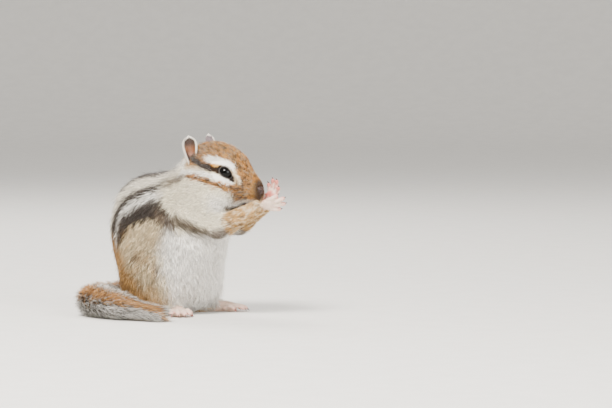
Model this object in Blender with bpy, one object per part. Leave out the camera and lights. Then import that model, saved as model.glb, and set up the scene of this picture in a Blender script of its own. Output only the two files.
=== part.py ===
"""A life-size Siberian chipmunk, sitting up with both forepaws at its nose, as a set of parted solids.

The body faces +X, +Y is the animal's left and +Z is up, with the floor at Z = 0. Sizes are in
millimetres here and are turned to metres when a mesh is made. The trunk and head are one rounded
volume, given as a distance field: ellipsoids and tapered limbs joined with soft seams. Thin cuts
part it into nodes. Paws, ears, lids and the tail are tubes and sheets set on that volume.
"""

import math

import bmesh
import bpy
import numpy as np
from mathutils import Matrix

MM = 0.001
GAP = 0.3  # left between two nodes that touch
FLOOR = 0.0

# Driving sizes.
FOOT_LENGTH = 34.0
TAIL_LENGTH = 108.0
EYE_RADIUS = 4.1
EAR_HEIGHT = 16.0
EAR_WIDTH = 7.8

# The head's own frame has its origin at the nose tip, x forward, y left and z up.
NOSE = np.array([57.5, 8.0, 70.0])
HEAD_YAW = math.radians(8.0)
HEAD_ROLL = math.radians(-5.0)

# Spacing of the meshes' points.
HEAD_STEP = 2.6
BODY_STEP = 4.5
ARM_STEP = 2.8
FLESH_STEP = 3.2

# Softness of the seams, as the width over which two shapes flow together.
BODY_BLEND = 9.0
HEAD_BLEND = 5.0
ARM_BLEND = 4.0


def turn(yaw=0.0, pitch=0.0, roll=0.0):
    """The rotation matrix of a roll about x, then a pitch about y, then a yaw about z."""
    cy, sy = math.cos(yaw), math.sin(yaw)
    cp, sp = math.cos(pitch), math.sin(pitch)
    cr, sr = math.cos(roll), math.sin(roll)
    about_z = np.array([[cy, -sy, 0], [sy, cy, 0], [0, 0, 1]])
    about_y = np.array([[cp, 0, sp], [0, 1, 0], [-sp, 0, cp]])
    about_x = np.array([[1, 0, 0], [0, cr, -sr], [0, sr, cr]])
    return about_z @ about_y @ about_x


HEAD_TURN = turn(yaw=HEAD_YAW, roll=HEAD_ROLL)


def unit(vector):
    vector = np.asarray(vector, float)
    return vector / np.linalg.norm(vector, axis=-1, keepdims=True)


def from_head(point):
    """A point of the head's frame in the body's frame."""
    return NOSE + HEAD_TURN @ np.asarray(point, float)


def head_way(direction):
    """A direction of the head's frame in the body's frame."""
    return HEAD_TURN @ np.asarray(direction, float)


# Distance fields: each takes an array of points and gives about how far each lies outside a shape.


def ellipsoid(centre, radii, rotation=None):
    """About the distance to an ellipsoid, k (k - 1) / m, with k = |p / r| and m = |p / r^2|."""
    centre, radii = np.asarray(centre, float), np.asarray(radii, float)

    def field(points):
        p = points - centre
        if rotation is not None:
            p = p @ rotation
        k = np.linalg.norm(p / radii, axis=1)
        m = np.linalg.norm(p / radii**2, axis=1)
        return k * (k - 1.0) / np.maximum(m, 1e-9)

    return field


def limb(start, end, start_radius, end_radius):
    """The distance to a tapered, round-ended rod: to the nearest point of its axis, less the radius."""
    start, end = np.asarray(start, float), np.asarray(end, float)
    axis = end - start

    def field(points):
        along = np.clip((points - start) @ axis / (axis @ axis), 0.0, 1.0)
        nearest = start + along[:, None] * axis
        radius = start_radius + along * (end_radius - start_radius)
        return np.linalg.norm(points - nearest, axis=1) - radius

    return field


def soft_union(fields, blend):
    """The least of the fields, rounded by a quadratic fillet where two are within blend of each other."""

    def field(points):
        total = fields[0](points)
        for other in fields[1:]:
            second = other(points)
            near = np.maximum(blend - np.abs(total - second), 0.0) / blend
            total = np.minimum(total, second) - near**2 * blend / 4.0
        return total

    return field


def within(*fields):
    """What lies inside every one of the fields."""
    return lambda points: np.maximum.reduce([field(points) for field in fields])


def grown(field, amount):
    return lambda points: field(points) - amount


def box(low, high):
    """About the distance to a box: the farthest of the six that its sides lie from a point."""
    low, high = np.asarray(low, float), np.asarray(high, float)
    return lambda points: np.maximum(low - points, points - high).max(axis=1)


# The animal's rounded volumes.


def in_head(centre, radii, pitch=0.0):
    return ellipsoid(from_head(centre), radii, HEAD_TURN @ turn(pitch=math.radians(pitch)))


def head_limb(start, end, start_radius, end_radius):
    return limb(from_head(start), from_head(end), start_radius, end_radius)


def head_volume():
    """Cranium, brow, cheeks with full pouches, muzzle and jaw, in the head's frame."""
    shapes = [
        in_head((-30.5, 0, 10.5), (17.5, 14.0, 16.0)),
        in_head((-20.0, 0, 10.5), (11.5, 11.0, 11.0)),
        in_head((-9.5, 0, 3.4), (11.0, 7.8, 7.2), pitch=40.0),
        head_limb((-20.0, 0, -5.0), (-7.5, 0, -7.8), 8.0, 3.6),
    ]
    for side in (-1, 1):
        shapes.append(in_head((-30.0, side * 10.0, -4.5), (15.5, 11.2, 14.8)))
        shapes.append(in_head((-8.5, side * 3.2, -1.4), (6.5, 3.9, 4.8), pitch=20.0))
    return soft_union(shapes, HEAD_BLEND)


def trunk_volume():
    """Hips, belly, back, chest, thighs and neck."""
    shapes = [
        ellipsoid((1.0, 0, 26.0), (31.0, 24.0, 28.0)),
        ellipsoid((-10.5, 0, 47.0), (26.5, 22.5, 30.0)),
        ellipsoid((13.0, 0, 46.0), (25.0, 19.0, 22.0)),
        limb((2.0, 0, 57.0), from_head((-37.0, 0, 3.0)), 18.5, 14.5),
        ellipsoid((1.0, -17.5, 19.0), (20.0, 11.5, 19.0)),
        ellipsoid((1.0, 17.5, 19.0), (20.0, 11.5, 19.0)),
    ]
    return soft_union(shapes, BODY_BLEND)


WHOLE = soft_union([trunk_volume(), head_volume()], BODY_BLEND)
WHOLE_LOW = (-44.0, -42.0, -8.0)
WHOLE_HIGH = (66.0, 42.0, 106.0)

# The head is what lies in an oval that passes behind the nape and under the cheeks and chin. The
# neck is cut from the torso by a plane, and each thigh from it by an oval rod through its side.
HEAD_OVAL = ((-22.0, 0.0, 14.0), np.array([26.0, 34.0, 32.0]))
NECK_CUT = ((7.0, 0, 63.0), (-0.62, 0, -0.78))
THIGH_OVAL = ((2.0, 15.0), np.array([20.5, 20.0]))
THIGH_DEPTH = 7.0

SHOULDER = (21.0, 13.5, 56.0)
TOE_TIP = {-1: (32.0, -27.5), 1: (33.5, 30.0)}
HAND_WAY = {-1: (0.84, 0.50, 0.20), 1: (0.24, 0.05, 0.96)}
PALM_WAY = {-1: (-0.45, 0.75, 0.45), 1: (-0.25, -0.95, 0.08)}
ELBOW = {-1: (42.0, -10.0, 49.2), 1: (34.0, 19.0, 50.0)}
WRIST = {-1: (61.8, 0.6, 61.2), 1: (56.8, 15.2, 62.5)}


def arm_volume(side):
    """Upper arm and forearm, bent at the elbow."""
    shoulder = (SHOULDER[0], side * SHOULDER[1], SHOULDER[2])
    upper = limb(shoulder, ELBOW[side], 8.0, 6.0)
    lower = limb(ELBOW[side], WRIST[side], 6.3, 4.1)
    return soft_union([upper, lower], ARM_BLEND)


# Meshes from fields.

CORNERS = np.array([(i, j, k) for i in (0, 1) for j in (0, 1) for k in (0, 1)])
EDGES = [(a, b) for a in range(8) for b in range(a + 1, 8) if np.abs(CORNERS[a] - CORNERS[b]).sum() == 1]


def slope(field, points, step=0.05):
    """The field's gradient, by central differences."""
    shifts = np.eye(3) * step
    return np.stack([field(points + s) - field(points - s) for s in shifts], axis=1) / (2 * step)


def surface_net(field, low, high, step):
    """Points and quads of the field's zero surface.

    Each grid cell that the surface passes through gets one point, the mean of its edge crossings, and
    each grid edge that crosses the surface gets the quad of the four cells round it. The points are
    then pulled on to the surface along the field's gradient.
    """
    counts = np.ceil((np.asarray(high) - low) / step).astype(int) + 1
    grid = np.stack(np.meshgrid(*[np.arange(n) for n in counts], indexing="ij"), axis=-1)
    values = field((grid.reshape(-1, 3) * step + low).astype(float)).reshape(counts)
    cells = counts - 1
    corner_values = np.stack(
        [values[c[0] : c[0] + cells[0], c[1] : c[1] + cells[1], c[2] : c[2] + cells[2]] for c in CORNERS],
        axis=-1,
    )
    inside = corner_values < 0
    crossed = inside.any(axis=-1) & ~inside.all(axis=-1)
    place = np.full(tuple(cells), -1)
    place[crossed] = np.arange(crossed.sum())
    at = corner_values[crossed]
    total = np.zeros((len(at), 3))
    number = np.zeros(len(at))
    for a, b in EDGES:
        cut = (at[:, a] < 0) != (at[:, b] < 0)
        share = np.where(cut, at[:, a] / np.where(cut, at[:, a] - at[:, b], 1.0), 0.0)
        crossing = CORNERS[a] + share[:, None] * (CORNERS[b] - CORNERS[a])
        total += np.where(cut[:, None], crossing, 0.0)
        number += cut
    points = (np.argwhere(crossed) + total / number[:, None]) * step + low
    for _ in range(3):
        gradient = slope(field, points)
        size = np.maximum((gradient**2).sum(axis=1), 0.25)
        move = -(field(points) / size)[:, None] * gradient
        length = np.linalg.norm(move, axis=1, keepdims=True)
        points = points + move * np.minimum(1.0, 0.25 * step / np.maximum(length, 1e-9))
    return points, net_quads(values, place)


def net_quads(values, place):
    quads = []
    for axis in range(3):
        u, v = (axis + 1) % 3, (axis + 2) % 3
        first = values.take(range(values.shape[axis] - 1), axis=axis) < 0
        second = values.take(range(1, values.shape[axis]), axis=axis) < 0
        edges = np.argwhere(first != second)
        edges = edges[(edges[:, u] > 0) & (edges[:, v] > 0)]
        around = []
        for du, dv in ((-1, -1), (0, -1), (0, 0), (-1, 0)):
            cell = edges.copy()
            cell[:, u] += du
            cell[:, v] += dv
            around.append(place[tuple(cell.T)])
        faces = np.stack(around, axis=1)
        outward = first[tuple(edges.T)]
        faces[~outward] = faces[~outward][:, ::-1]
        quads.append(faces)
    return np.concatenate(quads)


# Blender objects.


def make_material(name, colour, roughness):
    material = bpy.data.materials.new(name)
    material.use_nodes = True
    shader = material.node_tree.nodes["Principled BSDF"]
    shader.inputs["Base Color"].default_value = (*colour, 1.0)
    shader.inputs["Roughness"].default_value = roughness
    shader.inputs["Metallic"].default_value = 0.0
    material.diffuse_color = (*colour, 1.0)
    return material


def make_object(name, points, faces, material):
    """A named mesh object from points in millimetres, with its normals pointing out."""
    mesh = bpy.data.meshes.new(name)
    mesh.from_pydata((np.asarray(points) * MM).tolist(), [], [list(map(int, f)) for f in faces])
    work = bmesh.new()
    work.from_mesh(mesh)
    bmesh.ops.recalc_face_normals(work, faces=work.faces)
    work.to_mesh(mesh)
    work.free()
    mesh.materials.append(material)
    mesh.shade_smooth()
    thing = bpy.data.objects.new(name, mesh)
    bpy.context.scene.collection.objects.link(thing)
    return thing


def field_object(name, field, low, high, step, material):
    low = np.floor(np.array(low) / step) * step
    high = np.ceil(np.array(high) / step) * step
    closed = within(field, box(low + 1.2 * step, high - 1.2 * step))
    points, quads = surface_net(closed, low, high, step)
    thing = make_object(name, points, quads, material)
    keep_largest(thing)
    return thing


def keep_largest(thing):
    """Drops all but the piece with the most faces."""
    work = bmesh.new()
    work.from_mesh(thing.data)
    work.faces.ensure_lookup_table()
    unseen, pieces = set(work.faces), []
    while unseen:
        front = [unseen.pop()]
        piece = set(front)
        while front:
            for edge in front.pop().edges:
                for face in edge.link_faces:
                    if face in unseen:
                        unseen.discard(face)
                        piece.add(face)
                        front.append(face)
        pieces.append(piece)
    largest = max(pieces, key=len)
    scraps = [face for face in work.faces if face not in largest]
    bmesh.ops.delete(work, geom=scraps, context="FACES")
    loose = [v for v in work.verts if not v.link_faces]
    bmesh.ops.delete(work, geom=loose, context="VERTS")
    work.to_mesh(thing.data)
    work.free()


def slice_off(thing, point, outward, gap=GAP / 2):
    """Takes off what lies beyond a plane, and the gap before it, and closes the cut."""
    outward = unit(outward)
    place = (np.asarray(point, float) - outward * gap) * MM
    work = bmesh.new()
    work.from_mesh(thing.data)
    cut = bmesh.ops.bisect_plane(
        work,
        geom=work.verts[:] + work.edges[:] + work.faces[:],
        dist=1e-7,
        plane_co=place,
        plane_no=-outward,
        clear_inner=True,
    )
    rim = [e for e in cut["geom_cut"] if isinstance(e, bmesh.types.BMEdge)]
    bmesh.ops.holes_fill(work, edges=rim, sides=0)
    bmesh.ops.triangulate(work, faces=[f for f in work.faces if len(f.verts) > 4])
    bmesh.ops.recalc_face_normals(work, faces=work.faces)
    work.to_mesh(thing.data)
    work.free()
    keep_largest(thing)


def flat_on_floor(thing):
    slice_off(thing, (0, 0, FLOOR), (0, 0, -1), gap=0.0)


def copy_of(thing):
    twin = bpy.data.objects.new("copy", thing.data.copy())
    bpy.context.scene.collection.objects.link(twin)
    return twin


def apply_boolean(thing, operation, pieces):
    """Joins the pieces to the object, or cuts them from it, with one Boolean, and removes them."""
    group = bpy.data.collections.new("pieces")
    for piece in pieces:
        group.objects.link(piece)
    modifier = thing.modifiers.new("boolean", "BOOLEAN")
    modifier.operation = operation
    modifier.operand_type = "COLLECTION"
    modifier.collection = group
    modifier.solver = "EXACT"
    bpy.context.view_layer.update()
    graph = bpy.context.evaluated_depsgraph_get()
    result = bpy.data.meshes.new_from_object(thing.evaluated_get(graph))
    thing.modifiers.clear()
    thing.data = result
    for piece in pieces:
        bpy.data.objects.remove(piece)
    bpy.data.collections.remove(group)
    keep_largest(thing)


# Tubes and sheets.


def smooth_path(knots, count):
    """Points along a Catmull-Rom curve through the knots, evenly spaced by length."""
    knots = np.asarray(knots, float)
    ends = np.vstack([2 * knots[0] - knots[1], knots, 2 * knots[-1] - knots[-2]])
    fine = []
    for i in range(len(knots) - 1):
        a, b, c, d = ends[i : i + 4]
        t = np.linspace(0, 1, 24, endpoint=False)[:, None]
        fine.append(
            0.5
            * (
                2 * b
                + (c - a) * t
                + (2 * a - 5 * b + 4 * c - d) * t**2
                + (3 * b - 3 * c + d - a) * t**3
            )
        )
    fine = np.vstack(fine + [knots[-1:]])
    return at_shares(fine, np.linspace(0, 1, count))


def at_shares(path, shares):
    """Points at the given shares of a path's length."""
    steps = np.linalg.norm(np.diff(path, axis=0), axis=1)
    length = np.concatenate([[0.0], np.cumsum(steps)])
    at = np.asarray(shares) * length[-1]
    return np.stack([np.interp(at, length, path[:, k]) for k in range(3)], axis=1)


def frames_along(path, up):
    """Unit tangent, side and top vectors at each point, with the top kept near up."""
    tangent = unit(np.gradient(path, axis=0))
    side = unit(np.cross(np.broadcast_to(np.asarray(up, float), tangent.shape), tangent))
    top = np.cross(tangent, side)
    return tangent, side, top


def tube(path, half_widths, half_heights, up, sides, first=0.0):
    """Points and faces of a closed tube with an elliptical section: side and top radii at each point."""
    path = np.asarray(path, float)
    _, side, top = frames_along(path, up)
    angle = first + np.arange(sides) * 2 * math.pi / sides
    half_widths = np.broadcast_to(half_widths, len(path))
    half_heights = np.broadcast_to(half_heights, len(path))
    across = side[:, None, :] * (np.cos(angle)[None, :] * half_widths[:, None])[..., None]
    upward = top[:, None, :] * (np.sin(angle)[None, :] * half_heights[:, None])[..., None]
    points = (path[:, None, :] + across + upward).reshape(-1, 3)
    return points, tube_faces(len(path), sides)


def tube_faces(rings, sides):
    """Quads between neighbouring rings, and one face over each end."""
    i = np.arange(rings - 1)[:, None] * sides
    j = np.arange(sides)[None, :]
    k = (j + 1) % sides
    quads = np.stack([i + j, i + k, i + sides + k, i + sides + j], axis=-1).reshape(-1, 4)
    first = list(range(sides))[::-1]
    last = list(range((rings - 1) * sides, rings * sides))
    return [*quads.tolist(), first, last]


def ring_tube(loop, radius, sides):
    """Points and faces of a tube round a closed loop of points."""
    loop = np.asarray(loop, float)
    centre = loop.mean(axis=0)
    tangent = unit(np.roll(loop, -1, axis=0) - np.roll(loop, 1, axis=0))
    outward = loop - centre
    outward = unit(outward - (outward * tangent).sum(axis=1, keepdims=True) * tangent)
    lift = np.cross(tangent, outward)
    angle = np.arange(sides) * 2 * math.pi / sides
    ring = outward[:, None] * np.cos(angle)[None, :, None] + lift[:, None] * np.sin(angle)[None, :, None]
    points = (loop[:, None] + radius * ring).reshape(-1, 3)
    i = np.arange(len(loop))[:, None] * sides
    after = (np.arange(len(loop))[:, None] + 1) % len(loop) * sides
    j = np.arange(sides)[None, :]
    k = (j + 1) % sides
    return points, np.stack([i + j, i + k, after + k, after + j], axis=-1).reshape(-1, 4)


def on_surface(field, start, direction, reach=40.0):
    """Where a ray from inside a volume comes out of it."""
    direction = unit(direction)
    near, far = 0.0, reach
    for _ in range(40):
        middle = (near + far) / 2
        if field((np.asarray(start) + middle * direction)[None])[0] < 0:
            near = middle
        else:
            far = middle
    return np.asarray(start) + near * direction


# The head and what is set in it.

EYE_PLACE = (-17.2, 0.0, 8.8)  # in the head's frame, on its middle plane
EYE_SHOWS = math.radians(50.0)  # half the angle of eyeball between the lids
EYE_SLANT = math.radians(-32.0)  # how far the eye's long axis dips towards the nose
LID_RADIUS = 0.75
EAR_ROOT = (-37.0, 0.0, 14.0)
NOSE_CENTRE = (-1.3, 0.0, -0.3)
NOSE_RADII = np.array([2.2, 2.9, 2.5])
# A nostril's slit runs back and out through the nose between these two places.
NOSTRIL_FRONT = (1.2, 1.1, -0.8)
NOSTRIL_BACK = (-2.6, 3.6, -1.6)


def eye_frame(side):
    """The eyeball's centre, the way it looks, and the long and short axes of its opening."""
    look = head_way(unit((0.34, side * 0.93, 0.16)))
    start = from_head(EYE_PLACE)
    skin = on_surface(WHOLE, start, head_way((0.0, side, 0.0)))
    centre = skin - look * EYE_RADIUS * math.cos(EYE_SHOWS)
    forward = head_way((math.cos(EYE_SLANT), 0.0, math.sin(EYE_SLANT)))
    long_axis = unit(forward - (forward @ look) * look)
    return centre, look, long_axis, np.cross(look, long_axis) * side * -1.0


def lid_loop(side, count=20):
    """An almond on the eyeball: wider along its long axis, and drawn out to the front corner."""
    centre, look, long_axis, short_axis = eye_frame(side)
    angle = np.arange(count) * 2 * math.pi / count
    corner = np.maximum(np.cos(angle), 0.0) ** 5
    opening = EYE_SHOWS * (0.98 + 0.12 * np.cos(2 * angle) + 0.40 * corner)
    around = np.cos(angle)[:, None] * long_axis + np.sin(angle)[:, None] * short_axis
    on_ball = np.cos(opening)[:, None] * look + np.sin(opening)[:, None] * around
    return centre + (EYE_RADIUS + 0.45) * on_ball


def sphere_mesh(centre, radii, rotation=None, segments=14, rings=9):
    """Points and faces of an ellipsoid, from rings of latitude between two poles on its x axis."""
    polar = np.linspace(0, math.pi, rings + 1)[1:-1]
    angle = np.arange(segments) * 2 * math.pi / segments
    x = np.repeat(np.cos(polar), segments)
    y = (np.sin(polar)[:, None] * np.cos(angle)).ravel()
    z = (np.sin(polar)[:, None] * np.sin(angle)).ravel()
    points = np.vstack([np.stack([x, y, z], axis=1), [[1, 0, 0]], [[-1, 0, 0]]]) * radii
    if rotation is not None:
        points = points @ np.asarray(rotation).T
    faces = tube_faces(rings - 1, segments)[:-2]
    front, back = len(points) - 2, len(points) - 1
    last = (rings - 2) * segments
    for j in range(segments):
        k = (j + 1) % segments
        faces.append([front, k, j])
        faces.append([back, last + j, last + k])
    return points + np.asarray(centre), faces


def axes_matrix(x_axis, near_z):
    """Columns of a right-handed frame with its x along x_axis and its z near near_z."""
    x = unit(x_axis)
    y = unit(np.cross(near_z, x))
    return np.stack([x, y, np.cross(x, y)], axis=1)


# The lips' line in the head's frame: how far round from the front, and the height there.
LIP_CENTRE = (-11.0, 0.0)
LIP_AROUND = np.radians([0, 15, 40, 70, 95, 110])
LIP_HEIGHTS = np.array([-5.2, -5.8, -7.0, -8.4, -9.3, -9.0])
LIP_DEPTH = 1.3
LIP_GAP = 0.7


def lip_line(count):
    """Points on the skin along the lips, from the mouth's right corner to its left, and the ways out."""
    points, ways = [], []
    for around in np.linspace(-LIP_AROUND[-1], LIP_AROUND[-1], count):
        height = np.interp(abs(around), LIP_AROUND, LIP_HEIGHTS)
        way = head_way((math.cos(around), math.sin(around), -0.15))
        points.append(on_surface(WHOLE, from_head((*LIP_CENTRE, height)), way, reach=20.0))
        ways.append(unit(way))
    return np.array(points), np.array(ways)


def groove(points, ways, lift, depth, gap):
    """A closed strip across the skin along a line: a thin wedge, open outwards."""
    inner = points - ways * depth
    outer = points + ways * 2.0
    lift = np.asarray(lift) * gap / 2
    corners = (inner + lift * 0.4, inner - lift * 0.4, outer - lift * 1.6, outer + lift * 1.6)
    rails = np.stack(corners, axis=1)
    return rails.reshape(-1, 3), tube_faces(len(points), 4)


def mouth_cutters(material):
    points, ways = lip_line(19)
    mouth = groove(points, ways, head_way((0, 0, 1)), LIP_DEPTH, LIP_GAP)
    heights = np.linspace(-5.2, -1.0, 4)
    front = head_way((1, 0, -0.1))
    cleft = [on_surface(WHOLE, from_head((-9.0, 0, z)), front, reach=20.0) for z in heights]
    cleft = groove(np.array(cleft), np.tile(front, (4, 1)), head_way((0, 1, 0)), 0.8, 0.5)
    return [make_object("mouth", *mouth, material), make_object("cleft", *cleft, material)]


def head_oval(gap, material):
    centre, radii = HEAD_OVAL
    points, faces = sphere_mesh(from_head(centre), radii + gap, HEAD_TURN, 30, 18)
    return make_object("head_oval", points, faces, material)


def build_head(colours):
    coat = colours["coat"]
    low = from_head((-52, 0, 10)) - (6, 32, 36)
    high = from_head((0, 0, 10)) + (8, 28, 26)
    head = field_object("head", WHOLE, low, high, HEAD_STEP, coat)
    apply_boolean(head, "INTERSECT", [head_oval(-GAP / 2, coat)])
    lids, sockets = [], []
    for side in (-1, 1):
        centre = eye_frame(side)[0]
        lids.append(make_object("lid", *ring_tube(lid_loop(side), LID_RADIUS, 5), coat))
        ball = sphere_mesh(centre, (EYE_RADIUS + GAP,) * 3)
        sockets.append(make_object("socket", *ball, coat))
    apply_boolean(head, "UNION", lids)
    sockets.append(make_object("seat", *nose_mesh(GAP), coat))
    sockets += mouth_cutters(coat)
    apply_boolean(head, "DIFFERENCE", sockets)


def nose_mesh(grow=0.0):
    return sphere_mesh(from_head(NOSE_CENTRE), NOSE_RADII + grow, HEAD_TURN, segments=12, rings=8)


def build_nose(colours):
    nose = make_object("nose", *nose_mesh(), colours["nose"])
    nostrils = []
    for side in (-1, 1):
        mirror = (1.0, side, 1.0)
        start = from_head(np.multiply(NOSTRIL_FRONT, mirror))
        end = from_head(np.multiply(NOSTRIL_BACK, mirror))
        slit = tube(np.linspace(start, end, 4), 0.5, 0.75, head_way((0, 0, 1)), 6)
        nostrils.append(make_object("nostril", *slit, colours["nose"]))
    apply_boolean(nose, "DIFFERENCE", nostrils)


def build_eye(side, name, colours):
    centre, look = eye_frame(side)[:2]
    points, faces = sphere_mesh(centre, (EYE_RADIUS,) * 3, axes_matrix(look, (0, 0, 1)), 16, 10)
    return make_object(name, points, faces, colours["eye"])


def ear_sheet(side, across=9, along=9, thickness=1.1):
    """A cupped leaf: its width is a root that swells to a round top, and its middle is set back.

    The opening looks out and a little forward. A point lies at root + up s H + wide t w(s) + back c(s, t).
    """
    outward = head_way(unit((0.42, side * 0.90, 0.05)))
    up = head_way(unit((-0.10, side * 0.20, 1.0)))
    wide = unit(np.cross(up, outward))
    up = unit(np.cross(outward, wide))
    root = on_surface(WHOLE, from_head(EAR_ROOT), head_way((0.0, side, 0.0))) - outward * 1.2
    s = 1.0 - 1.16 * np.linspace(1.0, 0.0, along)[:, None] ** 1.5
    t = np.linspace(-1, 1, across)[None, :]
    share = np.clip(s, 0, 1)
    width = EAR_WIDTH / 2 * (0.50 + 0.62 * np.sin(share * math.pi * 0.62)) * np.sqrt(1 - share**6 * 0.93)
    cup = 3.4 * (1 - t**2) * (1.0 - 0.55 * share) * (width / (EAR_WIDTH / 2))
    lean = 1.6 * share**2
    place = (
        root
        + up * (s * EAR_HEIGHT - 0.9 * t**2 * share)[..., None]
        + wide * (t * width)[..., None]
        - outward * (cup + lean)[..., None]
    )
    normal = unit(np.cross(np.gradient(place, axis=0), np.gradient(place, axis=1)))
    if (normal[along // 2, across // 2] @ outward) < 0:
        normal = -normal
    rim = np.sqrt(np.clip(1 - np.abs(t) ** 4, 0.12, 1)) * np.where(share > 0.93, 0.6, 1.0)
    shift = normal * (thickness / 2 * rim)[..., None]
    points = np.concatenate([(place + shift).reshape(-1, 3), (place - shift).reshape(-1, 3)])
    return points, sheet_faces(along, across)


def sheet_faces(rows, columns):
    """Triangles of a closed sheet: a front, a back that follows it, and a band round the rim."""
    faces = []
    back = rows * columns
    for i in range(rows - 1):
        for j in range(columns - 1):
            a, b = i * columns + j, i * columns + j + 1
            c, d = b + columns, a + columns
            faces += [[a, b, c], [a, c, d], [back + c, back + b, back + a], [back + d, back + c, back + a]]
    rim = [j for j in range(columns)]
    rim += [i * columns + columns - 1 for i in range(1, rows)]
    rim += [(rows - 1) * columns + j for j in range(columns - 2, -1, -1)]
    rim += [i * columns for i in range(rows - 2, 0, -1)]
    for a, b in zip(rim, rim[1:] + rim[:1]):
        faces += [[b, a, back + a], [b, back + a, back + b]]
    return faces


def build_ear(side, name, flesh, colours):
    ear = make_object(name, *ear_sheet(side), colours["ear"])
    apply_boolean(ear, "DIFFERENCE", [copy_of(flesh)])


# Trunk, thighs and arms.


def thigh_rod(side, gap, material):
    """An oval rod across the side of the trunk, from near its middle out past the skin."""
    (x, z), radii = THIGH_OVAL
    path = [(x, side * (THIGH_DEPTH - gap), z), (x, side * 50.0, z)]
    return make_object("rod", *tube(path, radii[0] + gap, radii[1] + gap, (0, 0, 1), 36), material)


def build_trunk(colours):
    coat = colours["coat"]
    neck_place, below_neck = NECK_CUT
    torso = field_object("torso", WHOLE, WHOLE_LOW, (56, 42, 94), BODY_STEP, coat)
    slice_off(torso, neck_place, -np.array(below_neck))
    apply_boolean(torso, "DIFFERENCE", [thigh_rod(side, GAP / 2, coat) for side in (-1, 1)])
    flat_on_floor(torso)
    for side, name in ((-1, "thigh_right"), (1, "thigh_left")):
        low, high = (-30, -42, -8), (34, 42, 44)
        thigh = field_object(name, WHOLE, low, high, BODY_STEP, coat)
        apply_boolean(thigh, "INTERSECT", [thigh_rod(side, -GAP / 2, coat)])
        flat_on_floor(thigh)
    neck = field_object("neck", WHOLE, (-34, -40, 36), WHOLE_HIGH, BODY_STEP, coat)
    slice_off(neck, neck_place, below_neck)
    apply_boolean(neck, "DIFFERENCE", [head_oval(GAP / 2, coat)])


def build_arm(side, word, flesh, colours):
    """The upper arm from the trunk to the elbow, and the forearm from there to the wrist."""
    elbow, wrist = np.array(ELBOW[side]), np.array(WRIST[side])
    shoulder = np.array((SHOULDER[0], side * SHOULDER[1], SHOULDER[2]))
    bend = unit(unit(wrist - elbow) + unit(elbow - shoulder))
    crease = elbow - bend * 0.5
    volume = arm_volume(side)
    low = np.minimum(np.minimum(shoulder, elbow), wrist) - 12
    high = np.maximum(np.maximum(shoulder, elbow), wrist) + 12
    upper = field_object(f"upper_arm_{word}", volume, low, high, ARM_STEP, colours["coat"])
    apply_boolean(upper, "DIFFERENCE", [copy_of(flesh)])
    slice_off(upper, crease, bend)
    lower = field_object(f"forearm_{word}", volume, low, high, ARM_STEP, colours["coat"])
    apply_boolean(lower, "DIFFERENCE", [copy_of(flesh)])
    slice_off(lower, crease, -bend)
    slice_off(lower, wrist, wrist - elbow, gap=0.0)


# Paws. A toe or finger has its place across the paw, its length and how far back its root lies; a pad
# has its place across and how far back it lies.

TOES = ((-1.0, 7.0, 3.1), (-0.5, 9.6, 0.5), (0.0, 10.2, 0.0), (0.5, 9.6, 0.5), (1.0, 7.6, 2.3))
TOE_PADS = ((-0.75, 0.8), (0.0, 0.0), (0.75, 0.8))
TOE_SPLAY = math.radians(33.0)
TOE_SPREAD = 3.6
TOE_RADIUS = 1.18
FOOT_SHARES = np.array([0.0, 0.06, 0.2, 0.45, 0.62, 0.72, 0.78])
FOOT_LEVELS = np.array([2.3, 2.5, 2.9, 3.0, 2.7, 2.3, 2.1])
FOOT_WIDTHS = np.array([1.2, 2.5, 3.1, 3.5, 4.2, 4.3, 2.6])
FOOT_HEIGHTS = np.array([1.4, 2.8, 3.4, 3.5, 3.1, 2.6, 1.7])
FINGERS = ((-1.0, 7.0, 2.4), (-0.34, 8.6, 1.0), (0.34, 8.6, 0.8), (1.0, 6.8, 2.0))
HAND_PADS = ((-0.8, 1.4), (0.0, 0.6), (0.8, 1.4), (-0.55, 5.2), (0.55, 5.2))
FINGER_SPREAD = 2.6
FINGER_RADIUS = 1.02
HAND_WIDTHS = np.array([2.6, 2.6, 2.7, 2.9, 3.3, 3.6, 3.4, 2.3])
HAND_HEIGHTS = np.array([2.4, 2.3, 2.2, 2.0, 1.8, 1.7, 1.5, 1.0])


def digit(root, way, palm_up, length, radius, arch, material, claw=2.3):
    """A finger or toe as a bent, tapered tube with a knuckle, and a hooked claw on its tip."""
    way, palm_up = unit(way), unit(palm_up)
    shares = np.array([0.0, 0.28, 0.55, 0.86, 1.0])
    rise = arch * np.sin(shares * math.pi) - 0.22 * arch * shares
    path = root + way * (shares * length)[:, None] + palm_up * rise[:, None]
    swell = radius * np.array([1.05, 0.92, 1.06, 0.98, 0.55])
    pieces = [make_object("digit", *tube(path, swell, swell * 0.92, palm_up, 5), material)]
    tip, end = path[-2], unit(path[-1] - path[-2])
    hook = np.array([0.0, 0.4, 0.75, 1.0])
    claw_path = tip + end * (0.2 + hook * claw)[:, None] - palm_up * (0.9 * hook**2 - 0.25)[:, None]
    thin = np.array([0.5, 0.42, 0.3, 0.12])
    pieces.append(make_object("claw", *tube(claw_path, thin * 0.8, thin, palm_up, 4), material))
    return pieces


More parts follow.
